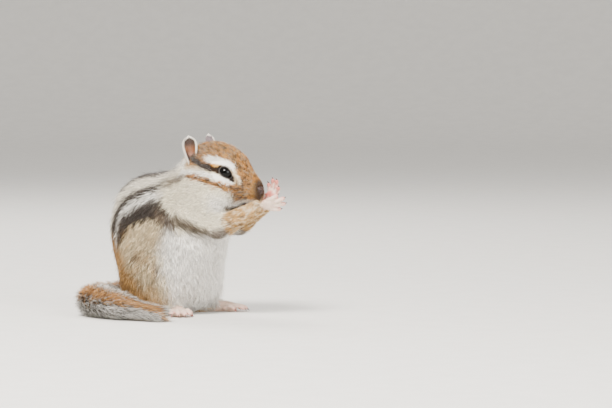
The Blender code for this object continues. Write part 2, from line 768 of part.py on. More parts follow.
def build_foot(side, word, flesh, colours):
    """The long sole, five toes with their claws, and the pads, flat on the floor."""
    skin = colours["skin"]
    splay = TOE_SPLAY * side
    toe_tip = np.array([*TOE_TIP[side], FLOOR])
    forward = np.array([math.cos(splay), math.sin(splay), 0.0])
    leftward = np.array([-math.sin(splay), math.cos(splay), 0.0]) * side
    up = np.array([0.0, 0.0, 1.0])
    heel = toe_tip - forward * FOOT_LENGTH
    path = heel + forward * (FOOT_SHARES * FOOT_LENGTH)[:, None] + up * FOOT_LEVELS[:, None]
    foot = make_object(f"foot_{word}", *tube(path, FOOT_WIDTHS, FOOT_HEIGHTS, up, 10), skin)
    front = heel + forward * (0.66 * FOOT_LENGTH) + up * 1.9
    toes = []
    for spread, length, back in TOES:
        root = front + leftward * spread * TOE_SPREAD - forward * back
        way = forward + leftward * spread * 0.40
        toes += digit(root, way, up, length, TOE_RADIUS, 1.5, skin, claw=2.5)
    for spread, back in TOE_PADS:
        centre = front + leftward * spread * 3.0 - forward * back - up * 0.9
        toes.append(make_object("pad", *sphere_mesh(centre, (1.5, 1.3, 1.5), None, 7, 4), skin))
    apply_boolean(foot, "UNION", toes)
    flat_on_floor(foot)
    apply_boolean(foot, "DIFFERENCE", [copy_of(flesh)])


def build_hand(side, word, colours):
    """A palm with its pads and four clawed fingers, which starts at the wrist's cut."""
    skin = colours["skin"]
    elbow, wrist = np.array(ELBOW[side]), np.array(WRIST[side])
    arm_way = unit(wrist - elbow)
    way, palm = unit(HAND_WAY[side]), unit(PALM_WAY[side])
    back = -unit(palm - (palm @ way) * way)
    across = np.cross(back, way)
    start = wrist - arm_way
    palm_start = wrist + arm_way * 1.4
    path = smooth_path([start, wrist + arm_way * 0.8, palm_start + way * 2.2, palm_start + way * 6.4], 8)
    hand = make_object(f"hand_{word}", *tube(path, HAND_WIDTHS, HAND_HEIGHTS, back, 9), skin)
    knuckles = path[-2]
    fingers = []
    for spread, length, down in FINGERS:
        root = knuckles + across * spread * FINGER_SPREAD - way * down
        finger_way = way + across * spread * 0.30
        fingers += digit(root, finger_way, back, length, FINGER_RADIUS, 0.9, skin, claw=1.9)
    for spread, down in HAND_PADS:
        centre = knuckles + across * spread * 2.2 - way * down - back * 1.0
        fingers.append(make_object("pad", *sphere_mesh(centre, (1.15, 1.15, 1.15), None, 6, 4), skin))
    apply_boolean(hand, "UNION", fingers)
    slice_off(hand, wrist, -arm_way, gap=GAP)


# The tail, laid on the floor in a curl towards the animal's right.

TAIL_KNOTS = [
    (-18.0, 1.0, 13.5),
    (-27.0, -4.0, 11.0),
    (-31.5, -14.0, 8.5),
    (-30.5, -26.0, 8.0),
    (-24.5, -37.5, 8.0),
    (-13.5, -47.0, 8.0),
    (2.0, -53.0, 7.5),
    (16.0, -55.0, 6.5),
    (27.0, -54.0, 5.0),
]
TAIL_NODES = ("tail_base", "tail_middle", "tail_tip")
TAIL_CUTS = (0.36, 0.70)  # shares of the tail's length
LOCK_ROWS = 8
LOCKS_AROUND = 6
LOCK_LENGTH = 21.0
LOCK_ROOT = 0.30  # how far out from the tail's line a lock starts, as a share of the brush
LOCK_SHARES = np.array([0.0, 0.3, 0.68, 1.0])
LOCK_WIDTHS = np.array([3.0, 4.9, 3.7, 0.3])
LOCK_DEPTHS = np.array([1.6, 1.7, 1.1, 0.25])


def tail_widths(share):
    """Half the brush's width: slim at the root, full past the middle, drawn to a point."""
    return np.interp(share, [0, 0.12, 0.3, 0.6, 0.85, 0.96, 1.0], [6.5, 7.0, 9.0, 11.0, 9.0, 4.2, 1.0])


def tail_heights(share):
    return np.interp(share, [0, 0.12, 0.3, 0.6, 0.85, 0.96, 1.0], [6.5, 7.0, 8.5, 9.0, 7.5, 3.8, 1.0])


def tail_core(share):
    """The core's size as a share of the brush's: nearly all of it at the root, then half."""
    return np.interp(share, [0.0, 0.05, 0.16, 1.0], [0.95, 0.85, 0.50, 0.42])


def lock_path(line, start, angle):
    """A lock's middle line, from inside the core back along the tail and out to the brush's outline."""
    tangent, side, top = frames_along(line, (0, 0, 1))
    steps = np.linalg.norm(np.diff(line, axis=0), axis=1)
    along = np.concatenate([[0.0], np.cumsum(steps)]) / steps.sum()
    shares = start + LOCK_LENGTH / TAIL_LENGTH * LOCK_SHARES
    reach = LOCK_ROOT + (1.0 - LOCK_ROOT) * LOCK_SHARES**0.7
    inside = np.minimum(shares, 1.0)

    def at(values):
        return np.stack([np.interp(inside, along, values[:, k]) for k in range(3)], axis=1)

    centre = at(line) + at(tangent) * ((shares - inside) * TAIL_LENGTH)[:, None]
    width = (reach * tail_widths(inside) * math.cos(angle))[:, None]
    height = (reach * tail_heights(inside) * math.sin(angle))[:, None]
    outward = unit(at(side)[1] * math.cos(angle) + at(top)[1] * math.sin(angle))
    return centre + at(side) * width + at(top) * height, outward


def tail_locks(line, material):
    """Rows of flat, tapered locks round the tail, each row turned half a step from the last."""
    locks = []
    for row in range(LOCK_ROWS):
        share = 0.07 + 0.84 * row / (LOCK_ROWS - 1)
        count = LOCKS_AROUND if share < 0.75 else LOCKS_AROUND - 2
        for number in range(count):
            sway = 0.12 * math.sin(5.1 * row + 2.3 * number)
            angle = 2 * math.pi * (number + 0.5 * (row % 2)) / count + sway
            start = share + 0.015 * math.sin(3.7 * row + 4.1 * number)
            path, outward = lock_path(line, start, angle)
            broad = 0.75 + 0.25 * tail_widths(share) / 11.0
            shape = tube(path, LOCK_WIDTHS * broad, LOCK_DEPTHS, outward, 3, first=math.pi / 2)
            locks.append(make_object("lock", *shape, material))
    return locks


def build_tail(flesh, colours):
    """A core along the tail's line, with its locks, cut across into three lengths."""
    shares = np.linspace(0, 1, 25)
    line = smooth_path(TAIL_KNOTS, 25)
    core = tail_core(shares)
    brush = tube(line, tail_widths(shares) * core, tail_heights(shares) * core, (0, 0, 1), 10)
    whole = make_object("tail", *brush, colours["coat"])
    apply_boolean(whole, "UNION", tail_locks(line, colours["coat"]))
    cuts = []
    for share in TAIL_CUTS:
        before, place, after = at_shares(line, (share - 0.02, share, share + 0.02))
        cuts.append((place, after - before))
    for number, name in enumerate(TAIL_NODES):
        part = copy_of(whole)
        part.name = name
        if number > 0:
            place, onward = cuts[number - 1]
            slice_off(part, place, -onward)
        if number < len(cuts):
            slice_off(part, *cuts[number])
        apply_boolean(part, "DIFFERENCE", [copy_of(flesh)])
        flat_on_floor(part)
    bpy.data.objects.remove(whole)


def clear_scene():
    for thing in list(bpy.data.objects):
        bpy.data.objects.remove(thing, do_unlink=True)


def centre_on_floor():
    """Moves all points so that the origin is under the middle of the whole, at floor level."""
    meshes = [thing.data for thing in bpy.data.objects]
    corners = np.array([vertex.co for mesh in meshes for vertex in mesh.vertices])
    middle = (corners.min(axis=0) + corners.max(axis=0)) / 2
    shift = Matrix.Translation((-middle[0], -middle[1], -corners[:, 2].min()))
    for mesh in meshes:
        mesh.transform(shift)


def main():
    clear_scene()
    colours = {
        "coat": make_material("coat", (0.62, 0.47, 0.31), 0.9),
        "skin": make_material("paw_skin", (0.71, 0.53, 0.46), 0.7),
        "ear": make_material("ear_skin", (0.52, 0.35, 0.27), 0.75),
        "nose": make_material("nose_skin", (0.30, 0.20, 0.18), 0.5),
        "eye": make_material("eye", (0.012, 0.011, 0.012), 0.06),
    }
    flesh = field_object("flesh", grown(WHOLE, GAP), WHOLE_LOW, WHOLE_HIGH, FLESH_STEP, colours["coat"])
    build_trunk(colours)
    build_head(colours)
    build_nose(colours)
    for side, word in ((-1, "right"), (1, "left")):
        build_eye(side, f"eye_{word}", colours)
        build_ear(side, f"ear_{word}", flesh, colours)
        build_arm(side, word, flesh, colours)
        build_hand(side, word, colours)
        build_foot(side, word, flesh, colours)
    build_tail(flesh, colours)
    bpy.data.objects.remove(flesh)
    centre_on_floor()


main()
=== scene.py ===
"""The looks of a chipmunk that sits up with both forepaws at its nose.

Skin, coat, tail, eyes, nose, ears, whiskers, paws and stage are each made by an operator of their own.
"""

import math

import bmesh
import bpy
import numpy as np
from bpy.props import FloatProperty, FloatVectorProperty, PointerProperty
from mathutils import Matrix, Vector


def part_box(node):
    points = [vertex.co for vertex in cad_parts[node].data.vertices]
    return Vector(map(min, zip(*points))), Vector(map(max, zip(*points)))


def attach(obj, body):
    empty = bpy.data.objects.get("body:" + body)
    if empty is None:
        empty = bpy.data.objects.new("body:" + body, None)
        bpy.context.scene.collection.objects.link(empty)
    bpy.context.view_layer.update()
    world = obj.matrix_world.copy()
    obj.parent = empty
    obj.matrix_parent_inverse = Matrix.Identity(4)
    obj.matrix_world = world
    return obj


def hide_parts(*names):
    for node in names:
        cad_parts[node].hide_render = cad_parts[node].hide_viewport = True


bl_info = {
    "name": "Chipmunk looks",
    "version": (1, 0, 0),
    "blender": (4, 5, 0),
    "location": "View3D > Sidebar > Chipmunk",
    "description": "Dresses the packed solids of a sitting chipmunk with skin, coat, face, paws and tail",
    "category": "Object",
}

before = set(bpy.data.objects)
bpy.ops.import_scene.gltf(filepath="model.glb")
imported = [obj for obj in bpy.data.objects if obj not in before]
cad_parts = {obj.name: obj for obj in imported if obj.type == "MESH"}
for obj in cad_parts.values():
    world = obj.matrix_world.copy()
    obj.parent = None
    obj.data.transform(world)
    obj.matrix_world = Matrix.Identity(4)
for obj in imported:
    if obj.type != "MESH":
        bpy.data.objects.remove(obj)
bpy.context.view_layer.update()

# Everything below is worked out in millimetres in the animal's own frame: x is ahead, y is its left, z is up.
MM = 0.001
NOSE_TIP = np.array((57.5, 8.0, 70.0))
HEAD_YAW = math.radians(8.0)
HEAD_ROLL = math.radians(-5.0)
EYE_SEAT = np.array((-18.09, 9.09, 8.38))  # the left eyeball's centre in the head's frame
EYE_LOOK = np.array((0.339, 0.927, 0.16))
EYE_RADIUS = 4.1
EYE_REACH = 7.5  # the rim of the eye keeps within this distance of the eyeball's centre
# The eye's almond opening and its dark rim, as angles at the eyeball's centre.
OPENING_FRONT = math.radians(58.0)
OPENING_BACK = math.radians(51.0)
OPENING_HEIGHT = math.radians(33.0)
OPENING_CORNER = math.radians(16.0)
OPENING_SLANT = math.radians(-34.0)
RIM_WIDTH = math.radians(7.0)
EAR_SEAT = np.array((-37.51, 13.02, 13.94))
EAR_HEIGHT = 16.0
EAR_WIDTH = 7.8
EAR_STRETCH = {-1: 0.90, 1: 1.06}
NOSE_CENTRE = np.array((-1.3, 0.0, -0.3))
NOSE_RADII = np.array((2.2, 2.9, 2.5))
LIP_POINTS = np.array(
    [
        (-1.97, 0.0, -6.55),
        (-2.74, 2.21, -7.08),
        (-5.75, 4.4, -8.03),
        (-9.49, 4.15, -9.06),
        (-11.33, 3.81, -9.87),
        (-12.57, 4.6, -9.9),
        (-14.0, 6.2, -10.0),
        (-15.2, 9.3, -9.1),
    ]
)
ELBOW = {-1: (42.0, -10.0, 49.2), 1: (34.0, 19.0, 50.0)}
WRIST = {-1: (61.8, 0.6, 61.2), 1: (56.8, 15.2, 62.5)}
HAND_WAY = {-1: (0.84, 0.50, 0.20), 1: (0.24, 0.05, 0.96)}
PALM_WAY = {-1: (-0.45, 0.75, 0.45), 1: (-0.25, -0.95, 0.08)}
# A toe or finger has its place across the paw, its length and how far back its root lies. A pad has its
# place across and how far back it lies. A stance is how far apart the digits stand at places 0 and 1, how
# far they fan out, their arch and their claws' length.
TOES = ((-1.0, 7.0, 3.1), (-0.5, 9.6, 0.5), (0.0, 10.2, 0.0), (0.5, 9.6, 0.5), (1.0, 7.6, 2.3))
TOE_STANCE = (3.6, 0.40, 1.5, 2.7)
FINGERS = ((-1.0, 7.0, 2.4), (-0.34, 8.6, 1.0), (0.34, 8.6, 0.8), (1.0, 6.8, 2.0))
HAND_PADS = ((-0.8, 1.4), (0.0, 0.6), (0.8, 1.4), (-0.55, 5.2), (0.55, 5.2))
FINGER_STANCE = (2.6, 0.30, 0.9, 2.1)
PAD_SPREAD = 2.2
PAD_DEPTH = 1.6
TOE_TIP = {-1: (32.0, -27.5, 0.0), 1: (33.5, 30.0, 0.0)}
TOE_SPLAY = math.radians(33.0)
FOOT_LENGTH = 34.0
TAIL_LENGTH = 108.0
TAIL_KNOTS = np.array(
    [
        (-18.0, 1.0, 13.5),
        (-27.0, -4.0, 11.0),
        (-31.5, -14.0, 8.5),
        (-30.5, -26.0, 8.0),
        (-24.5, -37.5, 8.0),
        (-13.5, -47.0, 8.0),
        (2.0, -53.0, 7.5),
        (16.0, -55.0, 6.5),
        (27.0, -54.0, 5.0),
    ]
)
FLESH = (
    "torso",
    "neck",
    "head",
    "thigh_right",
    "thigh_left",
    "upper_arm_right",
    "upper_arm_left",
    "forearm_right",
    "forearm_left",
    "hand_right",
    "hand_left",
    "foot_right",
    "foot_left",
)
TAIL_NODES = ("tail_base", "tail_middle", "tail_tip")
SKIN_VOXEL = 0.65
SWELL = 0.22  # closes the 0.3 mm gaps between the solids before they are made one skin
FILL = 2.3  # closes the creases between cheek, arms, thighs and trunk, where fur lies over them
PATCH = 0.003  # a tuft's size on its baking map
SOLE_GAP = 0.05  # hair keeps this far over the floor
COLOUR_LAYER = "coat_colour"


# Arrays.


def unit(vectors):
    """v / |v| along the last axis."""
    vectors = np.asarray(vectors, float)
    return vectors / np.maximum(np.linalg.norm(vectors, axis=-1, keepdims=True), 1e-9)


def head_axes():
    """The head's axes as columns: a turn about x by its roll, then about z by its yaw."""
    c, s = math.cos(HEAD_YAW), math.sin(HEAD_YAW)
    cr, sr = math.cos(HEAD_ROLL), math.sin(HEAD_ROLL)
    yaw = np.array([[c, -s, 0], [s, c, 0], [0, 0, 1]])
    roll = np.array([[1, 0, 0], [0, cr, -sr], [0, sr, cr]])
    return yaw @ roll


HEAD_AXES = head_axes()


def from_head(points):
    """Points of the head's frame in the animal's: nose tip + A p."""
    return NOSE_TIP + np.asarray(points, float) @ HEAD_AXES.T


def to_head(points):
    """Points of the animal's frame in the head's: A^T (p - nose tip)."""
    return (np.asarray(points, float) - NOSE_TIP) @ HEAD_AXES


def face_places(points):
    """Places in the head's frame, with y made positive, as if all were on its left."""
    head = to_head(points)
    return np.stack([head[:, 0], np.abs(head[:, 1]), head[:, 2]], axis=1)


def head_way(way):
    """A direction of the head's frame in the animal's: A v."""
    return np.asarray(way, float) @ HEAD_AXES.T


def mirrored(points, side):
    """The same points for the left (1) or the right (-1) of the head."""
    return np.asarray(points, float) * (1.0, side, 1.0)


def body_place():
    """Where the animal's own frame stands in the model's: from the right eye, which is known in both."""
    low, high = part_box("eye_right")
    return (np.array(low) + np.array(high)) / 2 / MM - from_head(mirrored(EYE_SEAT, -1))


PLACE = body_place()


def ramp(low, high, values):
    """3q^2 - 2q^3 with q = (v - low) / (high - low) held to 0..1. Low may be above high, for a fall."""
    q = np.clip((values - low) / (high - low), 0.0, 1.0)
    return q * q * (3 - 2 * q)


def nearest_gap(points, places):
    """Each point's distance from the nearest of some places."""
    best = np.full(len(points), 1e9)
    for place in places:
        best = np.minimum(best, np.linalg.norm(points - place, axis=1))
    return best


def line_distance(points, line):
    """Each point's distance from a line of straight lengths, and its nearest place's share of the line."""
    best = np.full(len(points), 1e9)
    share = np.zeros(len(points))
    count = len(line) - 1
    for i in range(count):
        start, way = line[i], line[i + 1] - line[i]
        t = np.clip((points - start) @ way / (way @ way), 0, 1)
        gap = np.linalg.norm(points - start - t[:, None] * way, axis=1)
        near = gap < best
        best = np.where(near, gap, best)
        share = np.where(near, (i + t) / count, share)
    return best, share


def smooth_path(knots, count):
    """Points along a Catmull-Rom curve through the knots, evenly spaced by length."""
    knots = np.asarray(knots, float)
    ends = np.vstack([2 * knots[0] - knots[1], knots, 2 * knots[-1] - knots[-2]])
    a, b, c, d = ends[:-3, None], ends[1:-2, None], ends[2:-1, None], ends[3:, None]
    t = np.linspace(0, 1, 24, endpoint=False)[None, :, None]
    fine = 0.5 * (2 * b + (c - a) * t + (2 * a - 5 * b + 4 * c - d) * t**2 + (3 * b - 3 * c + d - a) * t**3)
    fine = np.vstack([fine.reshape(-1, 3), knots[-1:]])
    return at_shares(fine, np.linspace(0, 1, count))


def at_shares(path, shares):
    """Points at the given shares of a path's length."""
    steps = np.linalg.norm(np.diff(path, axis=0), axis=1)
    length = np.concatenate([[0.0], np.cumsum(steps)])
    reach = np.asarray(shares) * length[-1]
    return np.stack([np.interp(reach, length, path[:, k]) for k in range(3)], axis=1)


def frames_along(path, up):
    """Unit tangent, side and top vectors at each point, with the top kept near up."""
    tangent = unit(np.gradient(path, axis=0))
    side = unit(np.cross(np.broadcast_to(np.asarray(up, float), tangent.shape), tangent))
    return tangent, side, np.cross(tangent, side)


def grid_quads(rows, columns, wrap=True):
    """Quads of a grid whose columns close on themselves where wrap is true, facing outwards on a tube."""
    i = np.arange(rows - 1)[:, None] * columns
    j = np.arange(columns if wrap else columns - 1)[None, :]
    k = (j + 1) % columns
    return np.stack([i + j, i + k, i + columns + k, i + columns + j], axis=-1).reshape(-1, 4)


def tube(path, half_widths, half_heights, up, sides):
    """p + side w cos a + top h sin a along a path, with its ends drawn shut: points and quads."""
    _, side, top = frames_along(path, up)
    angle = np.arange(sides) * 2 * math.pi / sides
    half_widths = np.broadcast_to(half_widths, len(path))[:, None, None]
    half_heights = np.broadcast_to(half_heights, len(path))[:, None, None]
    ring = side[:, None] * np.cos(angle)[None, :, None] * half_widths
    ring = ring + top[:, None] * np.sin(angle)[None, :, None] * half_heights
    points = path[:, None] + ring
    start = np.broadcast_to(path[0], (1, sides, 3))
    end = np.broadcast_to(path[-1], (1, sides, 3))
    points = np.concatenate([start, points, end])
    return points.reshape(-1, 3), grid_quads(len(points), sides)


def ball(centre, radii, axes, rings=32, segments=48):
    """c + A (r cos p, r sin p cos a, r sin p sin a): points and quads, with poles on the x axis."""
    polar = np.linspace(0, math.pi, rings)[:, None]
    angle = (np.arange(segments) * 2 * math.pi / segments)[None, :]
    x = np.cos(polar) * np.ones_like(angle)
    y = np.sin(polar) * np.cos(angle)
    z = np.sin(polar) * np.sin(angle)
    points = np.stack([x, y, z], axis=-1).reshape(-1, 3) * radii
    return points @ np.asarray(axes).T + centre, grid_quads(rings, segments)


def axes_on(x_axis, near_z):
    """Columns of a right-handed frame with its x along x_axis and its z near near_z."""
    x = unit(x_axis)
    y = unit(np.cross(near_z, x))
    return np.stack([x, y, np.cross(x, y)], axis=1)


def noise(points, size, seed=0):
    """A smooth random value about 0 to 1 at each point: corner values of a lattice, mixed by smooth steps."""
    q = np.asarray(points) / size + 100.0
    cell = np.floor(q).astype(np.int64)
    f = q - cell
    f = f * f * (3 - 2 * f)
    total = np.zeros(len(q))
    for corner in range(8):
        bits = np.array([corner & 1, corner >> 1 & 1, corner >> 2 & 1])
        key = cell + bits
        mixed = key[:, 0] * 73856093 ^ key[:, 1] * 19349663 ^ key[:, 2] * 83492791 ^ (seed * 2654435761)
        value = (mixed * 2246822519 & 0x7FFFFFFF) % 65521 / 65521.0
        weight = np.prod(np.where(bits, f, 1 - f), axis=1)
        total += weight * value
    return total


# Meshes, colours and materials.


def linear(hex_colour):
    """An sRGB hex colour as linear red, green and blue."""
    values = np.array([int(hex_colour[i : i + 2], 16) for i in (1, 3, 5)]) / 255
    return np.where(values <= 0.04045, values / 12.92, ((values + 0.055) / 1.055) ** 2.4)


def new_object(name, points, faces, merge=True, smooth=True):
    """An object from points in the animal's millimetres and arrays of faces, standing at the origin."""
    faces = faces if isinstance(faces, (list, tuple)) else [faces]
    mesh = bpy.data.meshes.new(name)
    places = (np.asarray(points) + PLACE) * MM
    mesh.vertices.add(len(places))
    mesh.vertices.foreach_set("co", places.astype(np.float32).ravel())
    loops = np.concatenate([f.ravel() for f in faces]).astype(np.int32)
    sizes = np.concatenate([np.full(len(f), f.shape[1]) for f in faces])
    starts = np.concatenate([[0], np.cumsum(sizes)[:-1]]).astype(np.int32)
    mesh.loops.add(len(loops))
    mesh.loops.foreach_set("vertex_index", loops)
    mesh.polygons.add(len(sizes))
    mesh.polygons.foreach_set("loop_start", starts)
    mesh.update(calc_edges=True)
    if merge:
        work = bmesh.new()
        work.from_mesh(mesh)
        bmesh.ops.remove_doubles(work, verts=work.verts, dist=1e-7)
        bmesh.ops.recalc_face_normals(work, faces=work.faces)
        work.to_mesh(mesh)
        work.free()
    mesh.validate()
    if smooth:
        mesh.shade_smooth()
    thing = bpy.data.objects.new(name, mesh)
    bpy.context.scene.collection.objects.link(thing)
    return thing


def joined(shapes):
    """One list of points and faces from several."""
    points, faces, start = [], [], 0
    for p, f in shapes:
        points.append(p)
        faces.append(f + start)
        start += len(p)
    return np.concatenate(points), np.concatenate(faces)


def read_points(mesh):
    """A mesh's points in the animal's millimetres, and its normals."""
    points = np.empty(len(mesh.vertices) * 3, np.float32)
    mesh.vertices.foreach_get("co", points)
    normals = np.empty(len(mesh.vertices) * 3, np.float32)
    mesh.vertex_normals.foreach_get("vector", normals)
    return points.reshape(-1, 3).astype(float) / MM - PLACE, normals.reshape(-1, 3).astype(float)


def write_points(mesh, points):
    """Puts points of the animal's frame back into a mesh, in metres."""
    mesh.vertices.foreach_set("co", ((points + PLACE) * MM).astype(np.float32).ravel())
    mesh.update()


def paint(mesh, colours):
    """Gives each point its linear colour, in the attribute that the coat's materials read."""
    attribute = mesh.attributes.new(COLOUR_LAYER, "FLOAT_COLOR", "POINT")
    rgba = np.ones((len(colours), 4), np.float32)
    rgba[:, :3] = colours
    attribute.data.foreach_set("color", rgba.ravel())


def add_node(tree, kind, settings=None, links=None):
    """Adds a node, sets its values by attribute or socket name, and links its inputs from (node, output)."""
    node = tree.nodes.new(kind)
    for key, value in (settings or {}).items():
        if key in node.inputs.keys():
            node.inputs[key].default_value = value
        else:
            setattr(node, key, value)
    for key, (source, output) in (links or {}).items():
        tree.links.new(source.outputs[output], node.inputs[key])
    return node


def new_material(name):
    """An empty node material: its tree, its shader and its Object coordinates."""
    material = bpy.data.materials.new(name)
    material.use_nodes = True
    tree = material.node_tree
    tree.nodes.clear()
    shader = add_node(tree, "ShaderNodeBsdfPrincipled")
    add_node(tree, "ShaderNodeOutputMaterial", links={"Surface": (shader, "BSDF")})
    return tree, shader, add_node(tree, "ShaderNodeTexCoord")


def set_shader(tree, shader, values, links):
    """Sets the shader's values by socket name, and links its inputs from (node, output)."""
    for key, value in values.items():
        shader.inputs[key].default_value = value
    for key, (source, output) in links.items():
        tree.links.new(source.outputs[output], shader.inputs[key])


def painted(tree):
    """The colours that the mesh carries."""
    return add_node(tree, "ShaderNodeAttribute", {"attribute_name": COLOUR_LAYER})


def clouds(tree, place, size, detail=3.0):
    """Noise with clumps of about the given size in metres."""
    values = {"Scale": 1 / size, "Detail": detail}
    return add_node(tree, "ShaderNodeTexNoise", values, {"Vector": (place, "Object")})


def relief(tree, pattern, output, strength, depth):
    """A pattern as a relief of the given depth in metres."""
    values = {"Strength": strength, "Distance": depth}
    return add_node(tree, "ShaderNodeBump", values, {"Height": (pattern, output)})


def shaded(tree, colour, pattern, low, high):
    """A colour times a factor that goes from low to high as the pattern goes from 0.3 to 0.7."""
    factor = add_node(
        tree,
        "ShaderNodeMapRange",
        {"From Min": 0.3, "From Max": 0.7, "To Min": low, "To Max": high},
        {"Value": (pattern, "Fac")},
    )
    return add_node(
        tree,
        "ShaderNodeVectorMath",
        {"operation": "SCALE"},
        {"Vector": (colour, "Color"), "Scale": (factor, "Result")},
    )


def fur_hair():
    """Guard hair: smooth, scaled keratin over a pith of air, which gives a soft, dry gleam along the tufts.

    Real hairs are 0.03 to 0.05 mm thick, too fine to show, so the streaks are drawn at about 0.4 mm.
    """
    tree, shader, place = new_material("guard hair")
    tint = shaded(tree, painted(tree), clouds(tree, place, 0.0004, 1.0), 0.86, 1.14)
    values = {"Roughness": 0.6, "IOR": 1.55, "Specular IOR Level": 0.25, "Sheen Weight": 0.15}
    set_shader(tree, shader, values, {"Base Color": (tint, "Vector")})


def under_fur():
    """Underfur: a dense, dull wool over hide, which carries the coat's markings and fills between the tufts.

    Its clumps are about 0.7 mm across.
    """
    tree, shader, place = new_material("underfur on hide")
    bump = relief(tree, clouds(tree, place, 0.0007), "Fac", 0.5, 0.0004)
    links = {"Base Color": (painted(tree), "Color"), "Normal": (bump, "Normal")}
    set_shader(tree, shader, {"Roughness": 0.9, "Specular IOR Level": 0.15}, links)


LIGHT_SPREAD = (0.0012, 0.0005, 0.0003)  # red light goes further under the skin than green and blue


def marked_skin(name, grain, depth, roughness, scatter):
    """Bare skin that carries its own markings, pebbled at the grain's size in metres.

    It is faintly damp, blotched by blood at about 2 mm, and soft where light passes through it.
    """
    tree, shader, place = new_material(name)
    pebble = add_node(tree, "ShaderNodeTexVoronoi", {"Scale": 1 / grain}, {"Vector": (place, "Object")})
    bump = relief(tree, pebble, "Distance", 0.4, depth)
    tint = shaded(tree, painted(tree), clouds(tree, place, 0.002), 0.88, 1.1)
    values = {"Roughness": roughness, "Subsurface Weight": scatter, "Subsurface Radius": LIGHT_SPREAD}
    set_shader(tree, shader, values, {"Base Color": (tint, "Vector"), "Normal": (bump, "Normal")})


def blended(name, scale, low_hex, high_hex, values, bump_depth=0.0):
    """A finish that wanders between two colours at a size in metres, with a relief of the same size."""
    tree, shader, place = new_material(name)
    wander = clouds(tree, place, scale)
    blend = add_node(tree, "ShaderNodeValToRGB", links={"Fac": (wander, "Fac")})
    stops = blend.color_ramp.elements
    for stop, position, colour in zip(stops, (0.35, 0.65), (low_hex, high_hex)):
        stop.position = position
        stop.color = (*linear(colour), 1)
    links = {"Base Color": (blend, "Color")}
    if bump_depth:
        links["Normal"] = (relief(tree, wander, "Fac", 0.5, bump_depth), "Normal")
    set_shader(tree, shader, values, links)


def make_materials():
    """Every finish of the animal, each with the real surface that it stands for."""
    fur_hair()
    under_fur()
    # Palms and soles: pink, finely pebbled skin, a little translucent.
    marked_skin("bare skin of the paws", 0.0005, 0.00012, 0.5, 0.15)
    # Lids: thin dark skin, a little oily.
    marked_skin("lid skin", 0.0003, 0.00006, 0.7, 0.0)
    # Ears: thin skin under short down, through which light shines red.
    marked_skin("ear skin", 0.0008, 0.0001, 0.6, 0.25)
    # Nose leather: dark, pebbled at about 0.3 mm, kept moist, so it gleams.
    damp = {"Roughness": 0.42, "Specular IOR Level": 0.35}
    blended("nose leather", 0.0003, "#261C1A", "#4A3833", damp, 0.00008)
    # Lips: smooth dark skin.
    blended("lip skin", 0.001, "#2A201E", "#41322E", {"Roughness": 0.42}, 0.00005)
    # Claws: horn, dark and glassy, streaked along by growth.
    blended("claw horn", 0.0008, "#2B1F1E", "#6A4C46", {"Roughness": 0.3}, 0.00003)
    # Whiskers: stiff dark bristle.
    blended("whisker bristle", 0.004, "#2A2320", "#5B4E46", {"Roughness": 0.4})
    # The eye: a black-brown iris and pupil under a wet cornea, which mirrors the lights.
    wet = {"Roughness": 0.06, "IOR": 1.376, "Specular IOR Level": 0.2}
    film = {"Coat Weight": 0.08, "Coat Roughness": 0.01}
    blended("wet cornea", 0.003, "#020202", "#080605", {**wet, **film})


def dress(thing, material, slot, *nodes):
    """Gives a piece its finish and its body, and hides the nodes that it stands for. Its slot is not used."""
    thing.data.materials.append(bpy.data.materials[material])
    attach(thing, "root")
    if nodes:
        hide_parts(*nodes)


# The skin.


def swelling(points):
    """How far the flesh is swollen before it is made one skin, and drawn in again after it.

    It is the crease fill on the trunk, and falls to SWELL towards face, forearms, hands and feet.
    """
    head = to_head(points)
    share = np.where(head[:, 2] > -22, ramp(-22, -34, head[:, 0]), 1.0)
    for side in (-1, 1):
        arm = np.array([ELBOW[side], WRIST[side]], float)
        arm_gap, _ = line_distance(points, arm)
        hand = np.array([WRIST[side], np.add(WRIST[side], np.multiply(HAND_WAY[side], 12))])
        hand_gap, _ = line_distance(points, hand)
        foot = np.array([np.add(TOE_TIP[side], (-22, -13 * side, 3)), TOE_TIP[side]], float)
        foot_gap, _ = line_distance(points, foot)
        share = share * (0.15 + 0.85 * ramp(6, 11, arm_gap)) * ramp(6, 12, hand_gap) * ramp(4.5, 9, foot_gap)
    return SWELL + (bpy.context.scene.chipmunk_coat.fill - SWELL) * share


def flesh_mesh():
    """The flesh nodes' copies, merged and swollen until they touch, remeshed as one closed surface."""
    points, faces, start = [], [], 0
    for name in FLESH:
        work = bmesh.new()
        work.from_mesh(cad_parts[name].data)
        bmesh.ops.remove_doubles(work, verts=work.verts, dist=1e-6)
        bmesh.ops.triangulate(work, faces=work.faces)
        mesh = bpy.data.meshes.new("copy")
        work.to_mesh(mesh)
        work.free()
        place, normal = read_points(mesh)
        corners = np.empty(len(mesh.loops), np.int32)
        mesh.loops.foreach_get("vertex_index", corners)
        points.append(place + normal * swelling(place)[:, None])
        faces.append(corners.reshape(-1, 3) + start)
        start += len(place)
        bpy.data.meshes.remove(mesh)
    rough = new_object("rough", np.concatenate(points), np.concatenate(faces), merge=False, smooth=False)
    remesh = rough.modifiers.new("remesh", "REMESH")
    remesh.mode = "VOXEL"
    remesh.voxel_size = SKIN_VOXEL * MM
    result = bpy.data.meshes.new_from_object(rough.evaluated_get(bpy.context.evaluated_depsgraph_get()))
    leftover = rough.data
    bpy.data.objects.remove(rough)
    bpy.data.meshes.remove(leftover)
    return result


